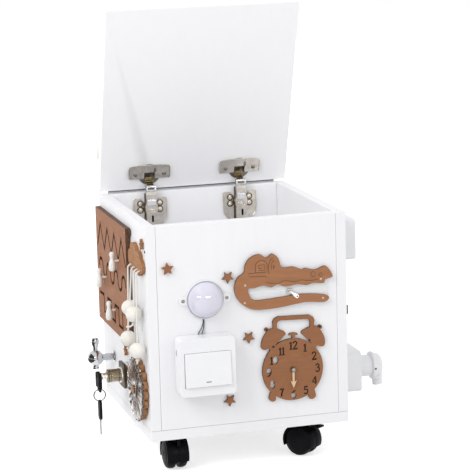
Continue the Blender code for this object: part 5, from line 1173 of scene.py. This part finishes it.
# %% Castors
TRAIL = 0.0155
AXLE_Z = -0.0300
WEB_HALF = 0.0025
WEB_RADIUS = 0.0245
HOOD_ROWS = ((16.5, 23.1, 20.9), (16.1, 24.1, 20.7), (15.8, 24.4, 20.9), (15.75, 24.45, 23.7),
             (13, 25.2, 23.7), (8, 25.8, 23.7), (3, 25.9, 23.7), (0.7, 25.7, 23.7), (0.5, 25.1, 23.7))
HOOD_ARC = [math.radians(-22 + 222 * i / 36) for i in range(37)]
WHEEL_HALF = ((0, 18.2), (3.2, 18.1), (3.6, 17.7), (9, 17.4), (14, 16.7), (18.0, 15.5), (18.4, 15.2),
              (18.8, 15.2), (20.7, 13.9), (21.9, 11.8), (22.5, 9), (22.5, 6), (22.2, 4.2), (21.5, 3.0),
              (2.5, 2.9))
STEM = mm((0, 12), (3.5, 12), (3.5, -3), (5, -3), (5, -8.5), (0, -8.5))
NECK = mm((-12, -13), (5, -13), (5, -3.4), (-12, -3.4))
CAP = mm((0, -0.3), (12, -0.3), (13.2, -1), (13.2, -2.4), (12, -3), (0, -3))
TOE_HALF = ((-20.8, 6.2), (-19, 7.4), (-16, 6.2), (-13, 5))
CASTORS = {"front_left": (-0.108, -0.130, 90), "front_right": (0.097, -0.130, 126),
           "rear_left": (-0.108, 0.130, -20), "rear_right": (0.108, 0.130, -105)}


def bow(radius):
    return [(radius * math.cos(a), radius * math.sin(a)) for a in HOOD_ARC]


def crescent(across, outer, inner):
    return mm(*[(x, y, across) for x, y in bow(outer) + bow(inner)[::-1]])


def king_pin(corner):
    x, y, heading = CASTORS[corner]
    return shift(x, y) @ spin(heading)


wheel_profile = mm(*WHEEL_HALF, *[(r, -h) for r, h in WHEEL_HALF[::-1]])
web = bow(WEB_RADIUS) + arc(0.005, math.pi, math.pi, 6)
for corner in CASTORS:
    king = king_pin(corner)
    axle = king @ shift(TRAIL, 0, AXLE_Z) @ spin(90, "X")
    back = axle.inverted() @ king
    cover = loft(
        [crescent(*row) for row in HOOD_ROWS] + [crescent(-w, *radii) for w, *radii in HOOD_ROWS[::-1]]
    )
    prism(web, -WEB_HALF, WEB_HALF, cover)
    turned(STEM, 24, cover, at=back)
    prism(NECK, -WEB_HALF, WEB_HALF, cover, at=back @ spin(90, "X"))
    turned(CAP, 32, cover, at=back)
    hood, wheels = f"castor_hood_{corner}", f"castor_wheels_{corner}"
    piece(f"{hood}_crowned", cover, axle, (NYLON,), hood, bevel=0.0003, replaces=(hood,))
    piece(f"{wheels}_turned", turned(wheel_profile, 56), axle, (TREAD,), wheels, sharp=40, replaces=(wheels,))
dress("brake_lever", (NYLON,), 0.0006, steps=3)
toe = mm(*TOE_HALF, *[(u, -v) for u, v in TOE_HALF[::-1]])
piece("brake_toe", prism(toe, -0.0064, -0.0038), king_pin("front_right"), (NYLON,), "brake_lever",
      bevel=0.0008, steps=3)
print("castors dressed")

# %% [markdown]
# The set is a pale floor under a plain white world, with two large soft lamps and two small bright ones
# that show only as glints. The floor looks white to the camera and in reflections, but lights the object
# only as a pale floor would, and it keeps the shadow.


# %% Floor, world and lamps
FLOOR_Z = -0.0525
FLOOR_GLOW = 0.60
WORLD_LEVEL = 0.93


def seen_by_eye(tree):
    """One for rays that the camera, a reflection or a clear part sends, and nought for light."""
    path = tree.nodes.new("ShaderNodeLightPath").outputs
    seen = maths(tree, "MAXIMUM", path["Is Camera Ray"], path["Is Glossy Ray"])
    return maths(tree, "MAXIMUM", seen, path["Is Transmission Ray"])


def stage(name, corners, grey):
    mesh = bpy.data.meshes.new(name)
    mesh.from_pydata(corners, [], [(0, 1, 2, 3)])
    made = linked(name, mesh)
    material, tree, shader = new_material(name)
    shader.inputs["Base Color"].default_value = (grey, grey, grey, 1)
    shader.inputs["Roughness"].default_value = 0.9
    mesh.materials.append(material)
    return made, tree, shader


tree, shader = stage("floor", [(x, y, FLOOR_Z) for x, y in ((-6, -6), (6, -6), (6, 6), (-6, 6))], 0.70)[1:]
glow = add_node(tree, "ShaderNodeMapRange", Value=seen_by_eye(tree), To_Min=0.0, To_Max=FLOOR_GLOW)
shader.inputs["Emission Color"].default_value = (1, 1, 1, 1)
tree.links.new(glow.outputs[0], shader.inputs["Emission Strength"])
# Two dark cards are seen only in reflections: painted dark reflections on the metal, from the left and from
# low on the left.
for name, corners in (
    ("dark_card", [(-1.3, y, z) for y, z in ((-2.6, 0.0), (0.9, 0.0), (0.9, 1.3), (-2.6, 1.3))]),
    ("low_dark_card", [(x, y, -0.05) for x, y in ((-1.3, -1.2), (-0.28, -0.3), (-0.28, 0.6), (-1.3, 0.6))]),
):
    card = stage(name, corners, 0.05)[0]
    card.visible_camera = card.visible_diffuse = card.visible_shadow = card.visible_transmission = False

studio = bpy.data.worlds.new("studio")
studio.use_nodes = True
tree = studio.node_tree
sky = tree.nodes["Background"]
level = add_node(tree, "ShaderNodeMapRange", Value=seen_by_eye(tree), To_Min=WORLD_LEVEL, To_Max=1.0)
sky.inputs["Color"].default_value = (1, 1, 1, 1)
tree.links.new(level.outputs[0], sky.inputs["Strength"])
bpy.context.scene.world = studio


def lamp(name, place, size, power, height=0.0, mirrored=False):
    light = bpy.data.lights.new(name, "AREA")
    light.shape = "RECTANGLE"
    light.size = size
    light.size_y = height or size
    light.energy = power
    made = linked(name, light)
    made.location = place
    made.rotation_euler = (Vector(place) - Vector((0, 0, 0.2))).to_track_quat("Z", "Y").to_euler()
    made.visible_glossy = mirrored
    made.visible_diffuse = not mirrored


lamp("key", (-2.6, -1.6, 2.5), 1.8, 62)
lamp("fill", (2.2, -2.4, 1.4), 2.2, 8)
lamp("spark_left", (-0.845, -1.522, 0.587), 0.6, 3.2, 0.17, True)
lamp("spark_right", (0.335, -1.70, 0.459), 0.6, 3.2, 0.17, True)
bpy.context.scene.view_settings.view_transform = "Standard"

# %% [markdown]
# The patterns for the copies have done their work and are taken away.

for part in (SCREW, TOOTH, SHADE_RING):
    bpy.data.objects.remove(part)
